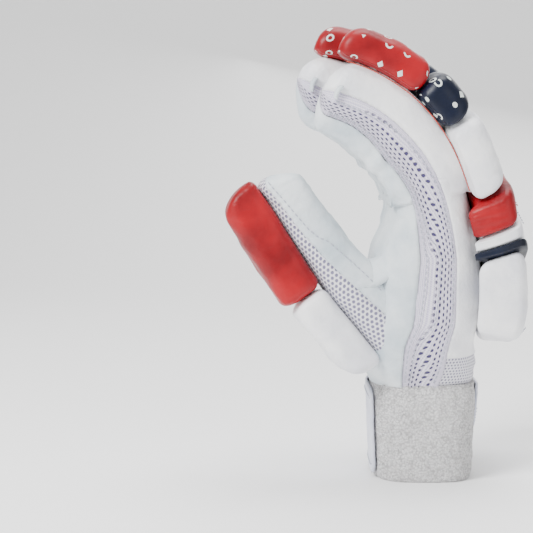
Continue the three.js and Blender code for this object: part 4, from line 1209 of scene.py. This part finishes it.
for side, finger in ((-1, "index"), (1, "little")):
    s = np.linspace(FINGER_ROOT, FINGERS[finger]["end"] - 0.35, 120)
    middle, width = finger_side(finger, s)
    path = over_back(s, middle + side * (width * STALL_SHARE / 2 + 0.6), -1.2)
    sewing(f"{finger}_raw_edge", path, np.tile([0.0, side, 0.0], (120, 1)), "edge cord", pitch=2.0,
           width=0.9)

# Folded leather tabs at the fingertips, standing off the palm side: thin rounded blocks, bent by
# the square of their length, each over its own solid's middle
TAB_HALF = (5.6, 1.3, 5.0)
for finger in FINGER_NAMES:
    name = f"{finger}_tip_tab"
    s = np.array(FINGERS[finger]["end"] - 0.5)
    away = on_curve(PALM_POINTS, s) - on_curve(BACK_POINTS, s)
    away /= np.linalg.norm(away)
    lengthwise = np.array([-away[1], away[0]])
    low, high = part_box(name)
    centre = (np.array(low) + np.array(high)) / 2 / MM
    local, quads, groups = rounded_block(TAB_HALF, (1.2, 1.2, 1.2), (12, 5, 14))
    bend = 0.05 * local[:, 2] ** 2 + 0.3 * np.sin(local[:, 0])
    flat = away[None] * local[:, 2:3] + lengthwise[None] * (local[:, 1:2] + bend[:, None] - 0.5)
    points = np.stack([centre[0] + flat[:, 0], centre[1] + local[:, 0], centre[2] + flat[:, 1]], 1)
    uvs = block_uvs(local, quads, groups, TAB_HALF)
    piece(name, cleaned(smooth_mesh(name, points, quads, uvs)), "sheepskin", (name,))


# Camera, lights and floor

MIDDLE = np.array([-71.5, 0.0, 139.7]) * MM
EYE = np.array([-71.5, -1150.0, 240.0]) * MM
LENS = 114.0
camera_data = bpy.data.cameras.new("camera")
camera = bpy.data.objects.new("camera", camera_data)
collection.objects.link(camera)
camera.location = EYE
aim = MIDDLE - EYE
camera.rotation_euler = (math.pi / 2 + math.atan2(aim[2], aim[1]), 0, 0)
camera_data.lens = LENS
bpy.context.scene.camera = camera

# Soft studio lights as (name, place and size in metres, power in watts), all turned to the glove
LIGHTS = (
    ("key", (-0.9, -0.9, 1.1), 0.6, 38.0),
    ("fill", (0.9, -1.1, 0.5), 1.0, 5.0),
    ("top", (0.2, 0.2, 1.5), 0.8, 20.0),
    ("back", (0.4, 1.5, 0.9), 1.2, 12.0),
)
GLOVE_MIDDLE = (0, 0, 0.15)
for name, place, size, power in LIGHTS:
    light = bpy.data.lights.new(name, "AREA")
    light.size, light.energy = size, power
    lamp = bpy.data.objects.new(name, light)
    collection.objects.link(lamp)
    lamp.location = place
    x, y, z = (a - b for a, b in zip(place, GLOVE_MIDDLE))
    lamp.rotation_euler = (math.atan2(math.hypot(x, y), z), 0, math.atan2(x, -y))

WORLD_STRENGTH = 0.55
world = bpy.data.worlds.new("studio")
world.use_nodes = True
world.node_tree.nodes["Background"].inputs["Color"].default_value = (1, 1, 1, 1)
world.node_tree.nodes["Background"].inputs["Strength"].default_value = WORLD_STRENGTH
bpy.context.scene.world = world

# Backdrop paper in millimetres: flat to the bend, a quarter circle up, and a wall
PAPER_HALF, PAPER_FRONT, PAPER_TOP = 4000.0, -4000, 5000
BEND_FOOT, BEND_RADIUS = 1200, 900
bend = np.linspace(0, np.pi / 2, 24)
sweep_y = np.concatenate([[PAPER_FRONT], BEND_FOOT + BEND_RADIUS * np.sin(bend),
                          [BEND_FOOT + BEND_RADIUS]])[:, None]
sweep_z = np.concatenate([[0], BEND_RADIUS * (1 - np.cos(bend)), [PAPER_TOP]])[:, None]
sweep_x = np.array([[PAPER_HALF, -PAPER_HALF]])
sweep = np.stack([sweep_x + 0 * sweep_y, sweep_y + 0 * sweep_x, sweep_z + 0 * sweep_x], -1)
floor_mesh = grid_mesh("floor", [with_lengths(sweep)])
floor_mesh.materials.append(LOOKS["paper"][0])
floor = bpy.data.objects.new("floor", floor_mesh)
collection.objects.link(floor)
